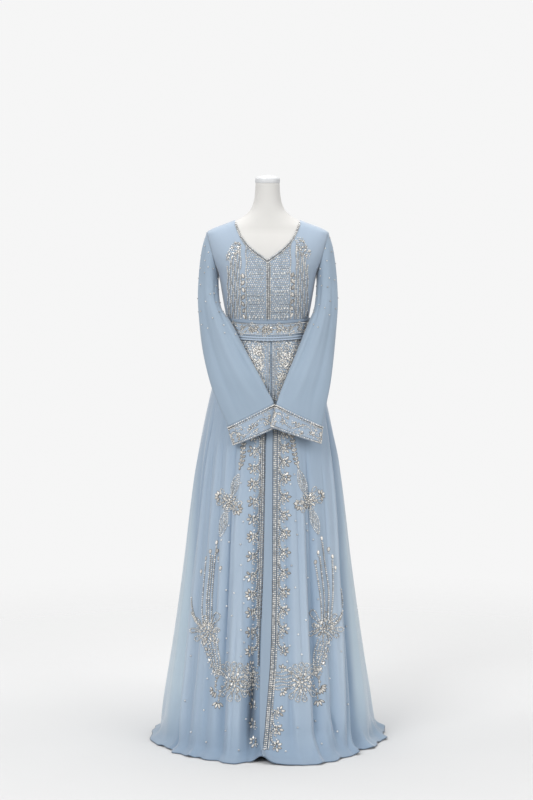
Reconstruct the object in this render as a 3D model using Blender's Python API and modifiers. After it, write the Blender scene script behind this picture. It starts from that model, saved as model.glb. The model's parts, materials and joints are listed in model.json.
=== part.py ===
"""A long beaded kaftan gown with its own belt, standing on a limbless dress form.

Metres, +Z up. The front faces -Y, and +X is the viewer's right. The origin is on the floor, at
the centre of the underside of the form's base. An azimuth is an angle round the upright axis,
in degrees: 0 is the front, 90 is +X and 180 is the back.
"""

import math

import bmesh
import bpy
import numpy as np

# Cloth
WALL = 0.0015
CUFF_WALL = 0.0024
SEAM = 0.0003
BEAD_RELIEF = 0.0012

# Heights of the cut
WAIST_Z = 1.172
ARMPIT_Z = 1.330
SHOULDER_TIP_Z = 1.4485
NECK_POINT_Z = 1.4812
BELT_BOTTOM_Z = 1.1475
BELT_HEIGHT = 0.057

# How far the cloth stands off the figure, and how far the lapped front stands off the other
SHOULDER_EASE = 0.0008
BODY_EASE = 0.0040
EASE_LOW_Z = 1.350
EASE_HIGH_Z = 1.440
LAP_LIFT = 0.0024
UNDERLAP_X = 0.024
LAP_FADE_X = 0.120

# The beaded borders beside the lap: how far in each starts, how wide it is and where it ends
RIGHT_BAND_WIDTH = 0.070
LEFT_BAND_START = 0.070
LEFT_BAND_WIDTH = 0.056
BEAD_BAND_TOP_Z = 1.100

# The belt
BELT_CLEARANCE = 0.0010
BELT_DIP = 0.004
BELT_DIP_AZIMUTH = 35.0
BELT_COLUMNS = 44

# The dress form and its stand
TORSO_BOTTOM_Z = 0.800
NECK_TOP_Z = 1.588
POLE_RADIUS = 0.0125
CAP_PROFILE = (
    # radius, height above the neck
    (0.0000, 0.0220),
    (0.0158, 0.0210),
    (0.0298, 0.0161),
    (0.0350, 0.0121),
    (0.0350, 0.0010),
    (0.0340, 0.0000),
    (0.0000, 0.0000),
)
BASE_PROFILE = (
    # radius, height above the floor
    (0.000, 0.030),
    (0.021, 0.030),
    (0.030, 0.012),
    (0.166, 0.010),
    (0.170, 0.006),
    (0.170, 0.000),
    (0.000, 0.000),
)
FORM_COLUMNS = 28
TURNED_STEPS = 32
TURNED_MERGE = 0.0001

# How finely the cloth is divided
PANEL_COLUMNS = 10
STEPS_PER_FOLD = 2
SLEEVE_COLUMNS = 20
SLEEVE_ROWS = (0.0, 0.4, 1.0, 1.5, 2.0, 2.5, 3.0, 3.5, 4.0, 5.0, 6.0, 7.0)
CUFF_ROWS = (7.33, 7.67, 8.0)

# The figure under the cloth, a squared oval at each height
FIGURE = (
    # height, half width, front depth, back depth, squareness
    (0.800, 0.146, 0.090, 0.110, 2.20),
    (0.880, 0.160, 0.100, 0.122, 2.20),
    (0.960, 0.156, 0.099, 0.116, 2.20),
    (1.040, 0.133, 0.089, 0.094, 2.20),
    (1.100, 0.114, 0.081, 0.081, 2.20),
    (1.140, 0.108, 0.079, 0.077, 2.20),
    (1.172, 0.108, 0.080, 0.077, 2.20),
    (1.210, 0.113, 0.087, 0.079, 2.20),
    (1.250, 0.120, 0.099, 0.082, 2.25),
    (1.280, 0.125, 0.104, 0.085, 2.30),
    (1.310, 0.130, 0.101, 0.087, 2.40),
    (1.340, 0.138, 0.095, 0.088, 2.60),
    (1.365, 0.151, 0.089, 0.087, 2.80),
    (1.390, 0.162, 0.083, 0.085, 3.00),
    (1.415, 0.169, 0.075, 0.081, 3.00),
    (1.435, 0.172, 0.066, 0.075, 2.80),
    (1.4485, 0.169, 0.059, 0.068, 2.50),
    (1.458, 0.152, 0.055, 0.063, 2.40),
    (1.468, 0.126, 0.052, 0.059, 2.30),
    (1.4785, 0.098, 0.049, 0.056, 2.20),
    (1.490, 0.074, 0.046, 0.053, 2.20),
    (1.505, 0.055, 0.043, 0.048, 2.10),
    (1.525, 0.043, 0.040, 0.043, 2.00),
    (1.550, 0.037, 0.037, 0.039, 2.00),
    (1.588, 0.034, 0.034, 0.034, 2.00),
)

# Rows of the bodice panels: where each meets the side, the front edge and the back edge
BODICE_ROWS = (
    # side height, front edge height, back edge height
    (1.1720, 1.1720, 1.1720),
    (1.2050, 1.2120, 1.2200),
    (1.2400, 1.2520, 1.2680),
    (1.2720, 1.2920, 1.3160),
    (1.3030, 1.3340, 1.3640),
    (1.3300, 1.3740, 1.4100),
    (1.3480, 1.3880, 1.4380),
    (1.3660, 1.4030, 1.4520),
    (1.3850, 1.4150, 1.4535),
    (1.4020, 1.4260, 1.4560),
    (1.4180, 1.4430, 1.4620),
    (1.4340, 1.4620, 1.4685),
)
SHOULDER_SEAM = (SHOULDER_TIP_Z, NECK_POINT_Z, NECK_POINT_Z)
SHOULDER_ROWS = 6
SHOULDER_ROUNDING = 2.2

# The neck edge, from the centre line up to the shoulder seam
FRONT_NECK = (
    # height, half width
    (1.3740, 0.0000),
    (1.4030, 0.0410),
    (1.4260, 0.0640),
    (1.4430, 0.0755),
    (1.4620, 0.0840),
    (NECK_POINT_Z, 0.0915),
)
BACK_NECK = (
    # height, half width
    (1.4520, 0.0000),
    (1.4535, 0.0300),
    (1.4560, 0.0500),
    (1.4620, 0.0680),
    (1.4685, 0.0790),
    (NECK_POINT_Z, 0.0915),
)

# The skirt below the waist seam, an oval at each height, with the lapped edge down its front
SKIRT = (
    # height, half width, front depth, back depth, squareness, lapped edge x, placket width
    (1.172, 0.1120, 0.0840, 0.0810, 2.20, 0.0120, 0.010),
    (1.110, 0.1255, 0.0990, 0.1000, 2.20, 0.0100, 0.012),
    (1.040, 0.1480, 0.1160, 0.1220, 2.15, 0.0060, 0.014),
    (0.960, 0.1680, 0.1290, 0.1400, 2.10, 0.0020, 0.015),
    (0.870, 0.1870, 0.1460, 0.1580, 2.05, -0.0030, 0.0165),
    (0.770, 0.2050, 0.1670, 0.1780, 2.00, -0.0060, 0.019),
    (0.650, 0.2215, 0.1950, 0.2000, 2.00, -0.0080, 0.021),
    (0.520, 0.2365, 0.2240, 0.2240, 2.00, -0.0110, 0.024),
    (0.390, 0.2535, 0.2520, 0.2480, 2.00, -0.0150, 0.027),
    (0.260, 0.2720, 0.2800, 0.2720, 2.00, -0.0195, 0.027),
    (0.140, 0.2915, 0.3050, 0.2950, 2.00, -0.0215, 0.020),
    (0.055, 0.3050, 0.3250, 0.3110, 2.00, -0.0210, 0.010),
    (0.018, 0.3150, 0.3400, 0.3200, 2.00, -0.0180, 0.008),
    (0.0015, 0.3390, 0.3720, 0.3450, 2.00, -0.0120, 0.007),
)
PLACKET_FIRST_ROW = 1
FULL_FOLD_Z = 0.10
HEM_TURN_Z = 0.03

# Fold lines of the skirt. Each runs from the waist to the hem, and its height is at the hem
SIDE_SEAM = 90.0
FRONT_FOLDS = (
    # azimuth at waist, azimuth at hem, height, height where it starts
    (-90.0, -90.0, 0.002, 0.95),
    (-86.0, -80.0, -0.004, 0.95),
    (-80.5, -66.0, 0.006, 1.00),
    (-74.0, -54.5, -0.016, 1.05),
    (-69.0, -50.0, 0.012, 1.05),
    (-60.0, -45.5, -0.002, 0.90),
    (-51.0, -41.5, 0.005, 0.85),
    (-43.0, -35.0, -0.004, 0.90),
    (-36.0, -29.5, 0.003, 0.90),
    (-30.5, -24.5, -0.012, 1.00),
    (-24.5, -20.0, 0.009, 1.00),
    (-19.0, -15.5, 0.008, 1.00),
    (-15.5, -12.5, -0.004, 0.95),
    (-9.0, -8.0, 0.000, 0.95),
    (12.0, 8.0, 0.000, 0.95),
    (16.0, 12.0, -0.003, 0.90),
    (19.5, 16.5, 0.009, 1.00),
    (27.0, 22.5, 0.009, 1.00),
    (32.0, 26.0, -0.012, 1.00),
    (40.0, 32.0, 0.005, 0.90),
    (49.0, 37.5, -0.004, 0.90),
    (60.0, 41.5, 0.010, 1.05),
    (75.0, 46.0, 0.012, 1.05),
    (80.0, 50.5, -0.020, 1.05),
    (84.0, 64.0, 0.008, 1.00),
    (87.0, 78.0, -0.004, 0.95),
    (90.0, 90.0, 0.002, 0.95),
)
BACK_FOLDS = (
    # azimuth at waist, azimuth at hem, height, height where it starts
    (90.0, 90.0, 0.002, 0.95),
    (98.0, 99.0, -0.008, 1.00),
    (106.0, 108.0, 0.009, 1.00),
    (113.0, 115.0, -0.007, 0.95),
    (121.0, 124.0, 0.007, 0.95),
    (128.0, 131.0, -0.009, 1.00),
    (137.0, 139.0, 0.010, 1.00),
    (145.0, 146.0, -0.006, 0.95),
    (152.0, 153.0, 0.008, 1.00),
    (160.0, 159.0, -0.009, 1.05),
    (168.0, 167.0, 0.009, 1.05),
    (176.0, 175.0, -0.007, 1.00),
    (184.0, 184.0, 0.008, 1.00),
    (192.0, 193.0, -0.009, 1.05),
    (200.0, 201.0, 0.007, 1.00),
    (207.0, 207.0, -0.006, 0.95),
    (215.0, 214.0, 0.010, 1.00),
    (223.0, 222.0, -0.009, 1.05),
    (231.0, 230.0, 0.008, 1.00),
    (239.0, 238.0, -0.007, 0.95),
    (247.0, 246.0, 0.009, 1.00),
    (255.0, 253.0, -0.008, 1.00),
    (262.0, 261.0, 0.006, 0.95),
    (270.0, 270.0, 0.002, 0.95),
)

# The belt's section, bottom to top: how thick it is at each part of its height
BELT_SECTION = (
    # part of the height, thickness
    (0.00, 0.0022),
    (0.06, 0.0044),
    (0.13, 0.0026),
    (0.20, 0.0044),
    (0.28, 0.0026),
    (0.36, 0.0042),
    (0.80, 0.0040),
    (0.86, 0.0028),
    (1.00, 0.0024),
)

# The sleeves below the armhole: the outer fold and the inner fold of the flattened tube
LEFT_SLEEVE = (
    # outer x, outer y, outer z, inner x, inner y, inner z, half thickness
    (-0.182, -0.006, 1.412, -0.1405, -0.016, 1.303, 0.040),
    (-0.192, -0.018, 1.330, -0.1330, -0.048, 1.238, 0.031),
    (-0.194, -0.040, 1.235, -0.1040, -0.076, 1.195, 0.026),
    (-0.183, -0.066, 1.125, -0.0620, -0.110, 1.117, 0.021),
    (-0.162, -0.104, 1.035, -0.0260, -0.136, 1.055, 0.016),
    (-0.138, -0.128, 0.970, -0.0020, -0.146, 1.009, 0.013),
    (-0.110, -0.143, 0.909, 0.0160, -0.152, 0.973, 0.012),
    (-0.093, -0.158, 0.857, 0.0210, -0.166, 0.905, 0.012),
)
RIGHT_SLEEVE = (
    # outer x, outer y, outer z, inner x, inner y, inner z, half thickness
    (0.182, -0.006, 1.412, 0.1405, -0.016, 1.303, 0.040),
    (0.193, -0.018, 1.330, 0.1340, -0.046, 1.238, 0.031),
    (0.196, -0.040, 1.235, 0.1170, -0.072, 1.195, 0.026),
    (0.188, -0.066, 1.125, 0.0860, -0.100, 1.120, 0.021),
    (0.177, -0.104, 1.035, 0.0580, -0.130, 1.056, 0.016),
    (0.165, -0.128, 0.975, 0.0385, -0.146, 1.009, 0.013),
    (0.152, -0.143, 0.910, 0.0260, -0.162, 0.972, 0.012),
    (0.147, -0.158, 0.861, 0.0110, -0.186, 0.910, 0.012),
)
ARMHOLE_HALF_THICKNESS = 0.046

# How far sideways the bodice's outward direction points at the armhole, as a share of 1
BODICE_FACES_SIDE = 0.92

# Colours, as linear values
CHIFFON = (0.36, 0.50, 0.68, 1.0)
BEADED_CHIFFON = (0.42, 0.50, 0.60, 1.0)
FORM_WHITE = (0.80, 0.79, 0.76, 1.0)
CAP_WHITE = (0.82, 0.83, 0.84, 1.0)
POLISHED_METAL = (0.60, 0.61, 0.62, 1.0)


# Curves through the tables


def smooth(table, column, at):
    """A column of a table at a place of its first column, on a smooth curve through the rows."""
    places = np.array([row[0] for row in table])
    values = np.array([row[column] for row in table])
    slopes = np.gradient(values, places)
    step = np.clip(np.searchsorted(places, at) - 1, 0, len(places) - 2)
    width = places[step + 1] - places[step]
    u = np.clip((at - places[step]) / width, 0.0, 1.0)
    return (
        (2 * u**3 - 3 * u**2 + 1) * values[step]
        + (u**3 - 2 * u**2 + u) * width * slopes[step]
        + (3 * u**2 - 2 * u**3) * values[step + 1]
        + (u**3 - u**2) * width * slopes[step + 1]
    )


def along(table, row):
    """All the columns of a table at a row number, which may lie between two rows."""
    numbered = [(i, *values) for i, values in enumerate(table)]
    return np.array([smooth(numbered, c, row) for c in range(1, len(numbered[0]))])


def ease_in(u):
    """Rises smoothly from 0 to 1 as u does."""
    u = np.clip(u, 0.0, 1.0)
    return u * u * (3 - 2 * u)


# The figure and the bodice's surface on it


def oval(half_width, front, back, squareness, azimuth):
    """A point of a squared oval, as (x, y)."""
    turn = np.radians(azimuth)
    across = np.sin(turn)
    ahead = np.cos(turn)
    depth = np.where(ahead > 0, front, back)
    x = half_width * np.sign(across) * np.abs(across) ** (2 / squareness)
    y = -depth * np.sign(ahead) * np.abs(ahead) ** (2 / squareness)
    return x, y


def azimuth_at(x, half_width, squareness):
    """The azimuth on the front of a squared oval where it reaches this x."""
    share = np.clip(np.abs(x) / half_width, 0.0, 1.0) ** (squareness / 2)
    return np.sign(x) * np.degrees(np.arcsin(share))


def eased_section(height):
    """Half width, front, back and squareness of the bodice's inner side at a height."""
    near_shoulder = ease_in((height - EASE_LOW_Z) / (EASE_HIGH_Z - EASE_LOW_Z))
    ease = BODY_EASE + (SHOULDER_EASE - BODY_EASE) * near_shoulder
    body_height = height - SHOULDER_EASE * near_shoulder
    section = [smooth(FIGURE, column, body_height) for column in range(1, 5)]
    return section[0] + ease, section[1] + ease, section[2] + ease, section[3]


def bodice_point(azimuth, height):
    x, y = oval(*eased_section(height), azimuth)
    return np.array([x, y, height])


def armhole_x(height):
    """The armhole lies in a plane, from the armpit out to the shoulder tip."""
    armpit = eased_section(ARMPIT_Z)[0]
    tip = eased_section(SHOULDER_TIP_Z)[0]
    return armpit + (tip - armpit) * (height - ARMPIT_Z) / (SHOULDER_TIP_Z - ARMPIT_Z)


def armhole_azimuth(height):
    """Azimuth of the armhole's front edge at a height, and of the side seam below it."""
    if height <= ARMPIT_Z or height >= SHOULDER_TIP_Z:
        return SIDE_SEAM
    half_width, _, _, squareness = eased_section(height)
    return float(azimuth_at(armhole_x(height), half_width, squareness))


def neck_azimuth(neck, height):
    """Azimuth of the neck edge at a height, and 0, the centre line, below it."""
    if height <= neck[0][0]:
        return 0.0
    half_width, _, _, squareness = eased_section(height)
    x = np.interp(height, [row[0] for row in neck], [row[1] for row in neck])
    return float(azimuth_at(x, half_width, squareness))


# Walls of cloth


def outward_vectors(points, closed=False, flip=False):
    """Unit vectors out of a grid of points, whose columns run to the left of its rows' rise."""
    grid = np.concatenate([points[:, -1:], points, points[:, :1]], axis=1) if closed else points
    around = np.gradient(grid, axis=1)
    along_rows = np.gradient(grid, axis=0)
    out = np.cross(around, along_rows)
    if closed:
        out = out[:, 1:-1]
    out /= np.linalg.norm(out, axis=2, keepdims=True)
    return -out if flip else out


def flattened(vectors, axis):
    """The vectors without one component, so that walls meet squarely at a seam."""
    flat = vectors.copy()
    flat[..., axis] = 0.0
    return flat / np.linalg.norm(flat, axis=-1, keepdims=True)


def grid_quads(rows, columns, closed=False, flip=False, first=0):
    """The quads of a grid, each starting at the corner that its diagonal runs from."""
    quads = []
    for row in range(rows - 1):
        for column in range(columns if closed else columns - 1):
            after = (column + 1) % columns
            low = first + row * columns
            high = low + columns
            quad = (low + column, low + after, high + after, high + column)
            quads.append((quad[0], *quad[:0:-1]) if flip else quad)
    return quads


def merged(inner, outer, quads):
    """Makes points that two grids share one point."""
    _, kept, place = np.unique(np.round(inner, 7), axis=0, return_index=True, return_inverse=True)
    place = place.reshape(-1)
    return inner[kept], outer[kept], [tuple(int(place[i]) for i in quad) for quad in quads]


def finish_object(name, mesh, colour, roughness, metallic=0.0):
    obj = bpy.data.objects.new(name, mesh)
    material = bpy.data.materials.new(name + "_finish")
    material.use_nodes = True
    shader = material.node_tree.nodes["Principled BSDF"]
    shader.inputs["Base Color"].default_value = colour
    shader.inputs["Roughness"].default_value = roughness
    shader.inputs["Metallic"].default_value = metallic
    obj.data.materials.append(material)
    obj.data.shade_smooth()
    PARTS.objects.link(obj)
    return obj


def cloth_wall(name, inner, outer, quads, colour=CHIFFON, roughness=0.8):
    """A closed wall between an inner and an outer skin, with its edges closed."""
    inner, outer, quads = merged(inner.reshape(-1, 3), outer.reshape(-1, 3), quads)
    count = len(inner)
    sides = {(a, b) for quad in quads for a, b in zip(quad, quad[1:] + quad[:1])}
    triangles = [t for a, b, c, d in quads for t in ((a, b, c), (a, c, d))]
    faces = [tuple(i + count for i in triangle) for triangle in triangles]
    faces += [triangle[::-1] for triangle in triangles]
    faces += [(a, b, b + count, a + count) for a, b in sorted(sides) if (b, a) not in sides]
    mesh = bpy.data.meshes.new(name)
    mesh.from_pydata(np.concatenate([inner, outer]).tolist(), [], faces)
    mesh.update()
    return finish_object(name, mesh, colour, roughness)


# The bodice


def bodice_rows():
    """The table's rows, then rows over the shoulder that end at its seam."""
    last = np.array(BODICE_ROWS[-1])
    seam = np.array(SHOULDER_SEAM)
    parts = [(1 - i / SHOULDER_ROWS) ** SHOULDER_ROUNDING for i in range(1, SHOULDER_ROWS + 1)]
    return [*BODICE_ROWS, *(tuple(seam + (last - seam) * part) for part in parts)]


def bodice_panel(edge_column, neck, behind):
    """Points and outward vectors of half a bodice panel, from its middle edge to its side."""
    points = []
    table = bodice_rows()
    for row in table:
        edge_height = row[edge_column]
        edge_azimuth = neck_azimuth(neck, edge_height)
        side_azimuth = armhole_azimuth(row[0])
        if row is table[-1]:
            edge_azimuth = SIDE_SEAM
        line = []
        for u in np.linspace(0.0, 1.0, PANEL_COLUMNS):
            azimuth = edge_azimuth + (side_azimuth - edge_azimuth) * u
            height = edge_height + (row[0] - edge_height) * u
            line.append(bodice_point(180.0 - azimuth if behind else azimuth, height))
        points.append(line)
    points = np.array(points)
    out = outward_vectors(points, flip=behind)

    armpit_row = [row[0] for row in table].index(ARMPIT_Z)
    seam_y = SEAM / 2 if behind else -SEAM / 2
    out[0] = flattened(out[0], 2)
    points[0, :, 2] += SEAM / 2
    out[: armpit_row + 1, -1] = flattened(out[: armpit_row + 1, -1], 1)
    points[: armpit_row + 1, -1, 1] = seam_y
    out[-1] = flattened(out[-1], 1)
    points[-1, :, 1] = seam_y
    centre_rows = [i for i, row in enumerate(table) if row[edge_column] <= neck[0][0]]
    out[centre_rows, 0] = flattened(out[centre_rows, 0], 0)
    points[centre_rows, 0, 0] = 0.0 if behind else SEAM / 2
    return points, out


def make_bodice():
    mirror = np.array([-1.0, 1.0, 1.0])
    points, out = bodice_panel(1, FRONT_NECK, behind=False)
    rows = len(points)
    quads = grid_quads(rows, PANEL_COLUMNS)
    cloth_wall("bodice_front_right", points, points + out * WALL, quads, BEADED_CHIFFON)
    points, out = points * mirror, out * mirror
    quads = grid_quads(rows, PANEL_COLUMNS, flip=True)
    cloth_wall("bodice_front_left", points, points + out * WALL, quads, BEADED_CHIFFON)

    points, out = bodice_panel(2, BACK_NECK, behind=True)
    both = np.concatenate([points, points * mirror])
    both_out = np.concatenate([out, out * mirror])
    quads = grid_quads(rows, PANEL_COLUMNS, flip=True)
    quads += grid_quads(rows, PANEL_COLUMNS, first=rows * PANEL_COLUMNS)
    cloth_wall("bodice_back", both, both + both_out * WALL, quads)


# The skirt


def fold_lines(folds, height):
    """Azimuth and height of each fold line where the skirt is at this height."""
    fallen = 1.0 - height / WAIST_Z
    azimuths = np.array([top + (hem - top) * fallen for top, hem, _, _ in folds])
    grown = np.array([ease_in((start - height) / (start - FULL_FOLD_Z)) for *_, start in folds])
    return azimuths, np.array([rise for _, _, rise, _ in folds]) * grown


def fold_height(folds, azimuth, height):
    """How far the folds raise the cloth at an azimuth, easing from one fold line to the next."""
    azimuths, rises = fold_lines(folds, height)
    step = np.clip(np.searchsorted(azimuths, azimuth) - 1, 0, len(azimuths) - 2)
    u = ease_in((azimuth - azimuths[step]) / (azimuths[step + 1] - azimuths[step]))
    return rises[step] + (rises[step + 1] - rises[step]) * u


def lap_lift(x, edge_x):
    """How far the lapped front stands off, full over the underlap and none further round."""
    return LAP_LIFT * (1.0 - ease_in((x - edge_x - UNDERLAP_X) / (LAP_FADE_X - UNDERLAP_X)))


def skirt_line(folds, azimuths, section, lapped=False):
    """The points of one row of the skirt at these azimuths."""
    height, half_width, front, back, squareness, edge_x, _ = section
    x, y = oval(half_width, front, back, squareness, azimuths)
    lift = lap_lift(x, edge_x) if lapped else np.zeros_like(x)
    reach = 1.0 + (fold_height(folds, azimuths, height) + lift) / np.hypot(x, y)
    lying = ease_in((HEM_TURN_Z - height) / HEM_TURN_Z)
    return np.stack([x * reach, y * reach, height + lift * lying], axis=1)


def divided(azimuths, steps):
    """The azimuths with each interval between them cut into equal steps."""
    places = np.arange((len(azimuths) - 1) * steps + 1) / steps
    return np.interp(places, np.arange(len(azimuths)), azimuths)


def front_azimuths(section, side):
    """Azimuths of one row of a front, from the side seam to its middle edge or back."""
    height, half_width, _, _, squareness, edge_x, _ = section
    lines, _ = fold_lines(FRONT_FOLDS, height)
    if side < 0:
        middle = azimuth_at(UNDERLAP_X, half_width, squareness)
        return divided(np.append(lines[lines < 0], middle), STEPS_PER_FOLD)
    middle = azimuth_at(edge_x, half_width, squareness)
    placket_end = azimuth_at(edge_x + section[6], half_width, squareness)
    return divided(np.concatenate([[middle, placket_end], lines[lines > 0]]), STEPS_PER_FOLD)


def skirt_thickness(points, section, lapped):
    """The wall is thicker where the beaded borders lie beside the lap."""
    start = section[5] + section[6] if lapped else section[5] - LEFT_BAND_START
    end = start + (RIGHT_BAND_WIDTH if lapped else LEFT_BAND_WIDTH)
    beaded = (points[:, 0] > start) & (points[:, 0] < end) & (points[:, 1] < 0)
    return WALL + BEAD_RELIEF * beaded * (section[0] < BEAD_BAND_TOP_Z)


def skirt_panel(folds, azimuth_rows, lapped=False):
    """Points, outward vectors and thickness of a skirt panel, from the waist to the hem."""
    points = np.array(
        [skirt_line(folds, row, section, lapped) for row, section in zip(azimuth_rows, SKIRT)]
    )
    out = outward_vectors(points, flip=True)
    out[0] = flattened(out[0], 2)
    points[0, :, 2] -= SEAM / 2
    thick = np.array([skirt_thickness(p, s, lapped) for p, s in zip(points, SKIRT)])
    if folds is BACK_FOLDS:
        thick[:] = WALL
    return points, out, thick[..., None]


def make_skirt():
    back_rows = [divided(fold_lines(BACK_FOLDS, s[0])[0], STEPS_PER_FOLD) for s in SKIRT]
    left_rows = [front_azimuths(section, -1) for section in SKIRT]
    right_rows = [front_azimuths(section, 1) for section in SKIRT]
    panels = {
        "skirt_back": skirt_panel(BACK_FOLDS, back_rows),
        "skirt_front_left": skirt_panel(FRONT_FOLDS, left_rows),
        "skirt_front_right": skirt_panel(FRONT_FOLDS, right_rows, lapped=True),
    }
    seams = (("skirt_front_right", -1, "skirt_back", 0), ("skirt_front_left", 0, "skirt_back", -1))
    for front, front_column, back, back_column in seams:
        shared = panels[front][1][:, front_column] + panels[back][1][:, back_column]
        shared = flattened(shared, 1)
        panels[front][1][:, front_column] = shared
        panels[back][1][:, back_column] = shared
        panels[front][0][:, front_column, 1] -= SEAM / 2
        panels[back][0][:, back_column, 1] += SEAM / 2
    for name, (points, out, thick) in panels.items():
        quads = grid_quads(len(SKIRT), points.shape[1], flip=True)
        cloth_wall(name, points, points + out * thick, quads)
    make_placket(*panels["skirt_front_right"])


def make_placket(points, out, thick):
    """The strip on the lapped edge, made from the outer points of the right front."""
    rows = slice(PLACKET_FIRST_ROW, None)
    columns = slice(0, STEPS_PER_FOLD + 1)
    under = (points + out * (thick + SEAM))[rows, columns]
    over = under + out[rows, columns] * WALL
    quads = grid_quads(under.shape[0], under.shape[1], flip=True)
    cloth_wall("placket", under, over, quads)


# The belt


def cloth_section(height):
    """Half width, front, back and squareness of the gown's inner side behind the belt."""
    if height >= WAIST_Z:
        return eased_section(height)
    heights = [row[0] for row in SKIRT][::-1]
    return [np.interp(height, heights, [row[c] for row in SKIRT][::-1]) for c in range(1, 5)]


def belt_point(azimuth, height):
    """A point of the belt's inner side, just clear of the cloth and of the lapped front."""
    x, y = oval(*cloth_section(height), azimuth)
    over_lap = y < 0 and x > -UNDERLAP_X
    lift = lap_lift(x, SKIRT[0][5]) if over_lap else 0.0
    reach = 1.0 + (WALL + BELT_CLEARANCE + lift) / np.hypot(x, y)
    return (x * reach, y * reach, height)


def make_belt():
    azimuths = np.arange(BELT_COLUMNS) * 360.0 / BELT_COLUMNS
    from_front = np.where(azimuths > 180.0, azimuths - 360.0, azimuths)
    dips = BELT_DIP * np.exp(-((from_front / BELT_DIP_AZIMUTH) ** 2))
    heights = [BELT_BOTTOM_Z + BELT_HEIGHT * part for part, _ in BELT_SECTION]
    points = np.array(
        [[belt_point(a, height - dip) for a, dip in zip(azimuths, dips)] for height in heights]
    )
    out = flattened(outward_vectors(points, closed=True), 2)
    thick = np.array([thickness for _, thickness in BELT_SECTION])[:, None, None]
    quads = grid_quads(len(BELT_SECTION), BELT_COLUMNS, closed=True)
    cloth_wall("belt", points, points + out * thick, quads, BEADED_CHIFFON)


# The sleeves


def armhole_ring(side, turns):
    """The armhole's edge, from the shoulder tip round the front to the armpit and back."""
    middle = (SHOULDER_TIP_Z + ARMPIT_Z) / 2
    half = (SHOULDER_TIP_Z - ARMPIT_Z) / 2
    ring = []
    for turn in turns:
        height = middle + half * math.cos(turn)
        azimuth = armhole_azimuth(height)
        behind = math.sin(turn) < 0
        ring.append(bodice_point(180.0 - azimuth if behind else azimuth, height))
    return np.array(ring) * np.array([side, 1.0, 1.0])


def sleeve_stations(side, table):
    """The table with a first row at the armhole, from the shoulder tip to the armpit."""
    tip = eased_section(SHOULDER_TIP_Z)[0]
    armpit = eased_section(ARMPIT_Z)[0]
    top = (side * tip, 0.0, SHOULDER_TIP_Z, side * armpit, 0.0, ARMPIT_Z, ARMHOLE_HALF_THICKNESS)
    return (top, *table)


def sleeve_ring(stations, row, turns):
    """The flattened tube's section at a row number, which may lie between two rows."""
    station = along(stations, row)
    outer, inner, half_thickness = station[0:3], station[3:6], station[6]
    centre = (outer + inner) / 2
    half_width = (outer - inner) / 2
    across = half_width / np.linalg.norm(half_width)
    front = np.array([0.0, -1.0, 0.0]) + across[1] * across
    front *= half_thickness / np.linalg.norm(front)
    return (
        centre
        + np.outer(np.cos(turns), half_width)
        + np.outer(np.sin(turns), front)
    )


def sleeve_rows(side, table, rows, turns):
    """Rings of the sleeve at these row numbers, blended into the armhole's own shape."""
    stations = sleeve_stations(side, table)
    armhole = armhole_ring(side, turns)
    first = sleeve_ring(stations, 0.0, turns)
    rings = []
    for row in rows:
        ring = sleeve_ring(stations, row, turns)
        rings.append(ring + (1.0 - float(ease_in(row))) * (armhole - first))
    return np.array(rings)


def make_sleeve(word, side, table):
    turns = np.arange(SLEEVE_COLUMNS) * 2 * math.pi / SLEEVE_COLUMNS
    points = sleeve_rows(side, table, SLEEVE_ROWS + CUFF_ROWS, turns)
    flip = side < 0
    out = outward_vectors(points, closed=True, flip=flip)

    # The armhole end stands off the bodice by the slant of both walls and the seam's gap.
    run = points[0, 0] - points[0, SLEEVE_COLUMNS // 2]
    away = np.array([side * abs(run[2]), 0.0, -abs(run[0])]) / math.hypot(run[0], run[2])
    bodice_out = np.array([side * BODICE_FACES_SIDE, 0.0, 0.0])
    slant = WALL * (max(0.0, float(bodice_out @ away)) + np.maximum(0.0, -(out[0] @ away)))
    points[0] += away * (SEAM + slant)[:, None]

    last = len(SLEEVE_ROWS) - 1
    fall = points[last + 1] - points[last]
    fall /= np.linalg.norm(fall, axis=1, keepdims=True)
    sleeve = points[: last + 1].copy()
    cuff = points[last:].copy()
    sleeve[-1] -= fall * SEAM / 2
    cuff[0] += fall * SEAM / 2
    quads = grid_quads(len(sleeve), SLEEVE_COLUMNS, closed=True, flip=flip)
    cloth_wall("sleeve_" + word, sleeve, sleeve + out[: last + 1] * WALL, quads)
    quads = grid_quads(len(cuff), SLEEVE_COLUMNS, closed=True, flip=flip)
    outer = cuff + out[last:] * CUFF_WALL
    cloth_wall("cuff_" + word, cuff, outer, quads, BEADED_CHIFFON)


# The dress form and its stand


def make_torso():
    azimuths = np.arange(FORM_COLUMNS) * 360.0 / FORM_COLUMNS
    mesh = bpy.data.meshes.new("form_torso")
    build = bmesh.new()
    rings = []
    for height, *section in FIGURE:
        x, y = oval(*section, azimuths)
        rings.append([build.verts.new((px, py, height)) for px, py in zip(x, y)])
    for low, high in zip(rings, rings[1:]):
        for i in range(FORM_COLUMNS):
            after = (i + 1) % FORM_COLUMNS
            build.faces.new((low[i], low[after], high[after], high[i]))
    build.faces.new(rings[0][::-1])
    build.faces.new(rings[-1])
    build.to_mesh(mesh)
    build.free()
    return finish_object("form_torso", mesh, FORM_WHITE, 0.7)


def turned(name, profile, colour, roughness, metallic=0.0):
    """A turned solid, from a profile of (radius, height) points that runs top to bottom."""
    mesh = bpy.data.meshes.new(name)
    points = [(radius, 0.0, height) for radius, height in profile]
    mesh.from_pydata(points, [(i, i + 1) for i in range(len(points) - 1)], [])
    obj = finish_object(name, mesh, colour, roughness, metallic)
    screw = obj.modifiers.new("turn", "SCREW")
    screw.steps = TURNED_STEPS
    screw.render_steps = TURNED_STEPS
    screw.use_merge_vertices = True
    screw.merge_threshold = TURNED_MERGE
    return obj


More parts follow.
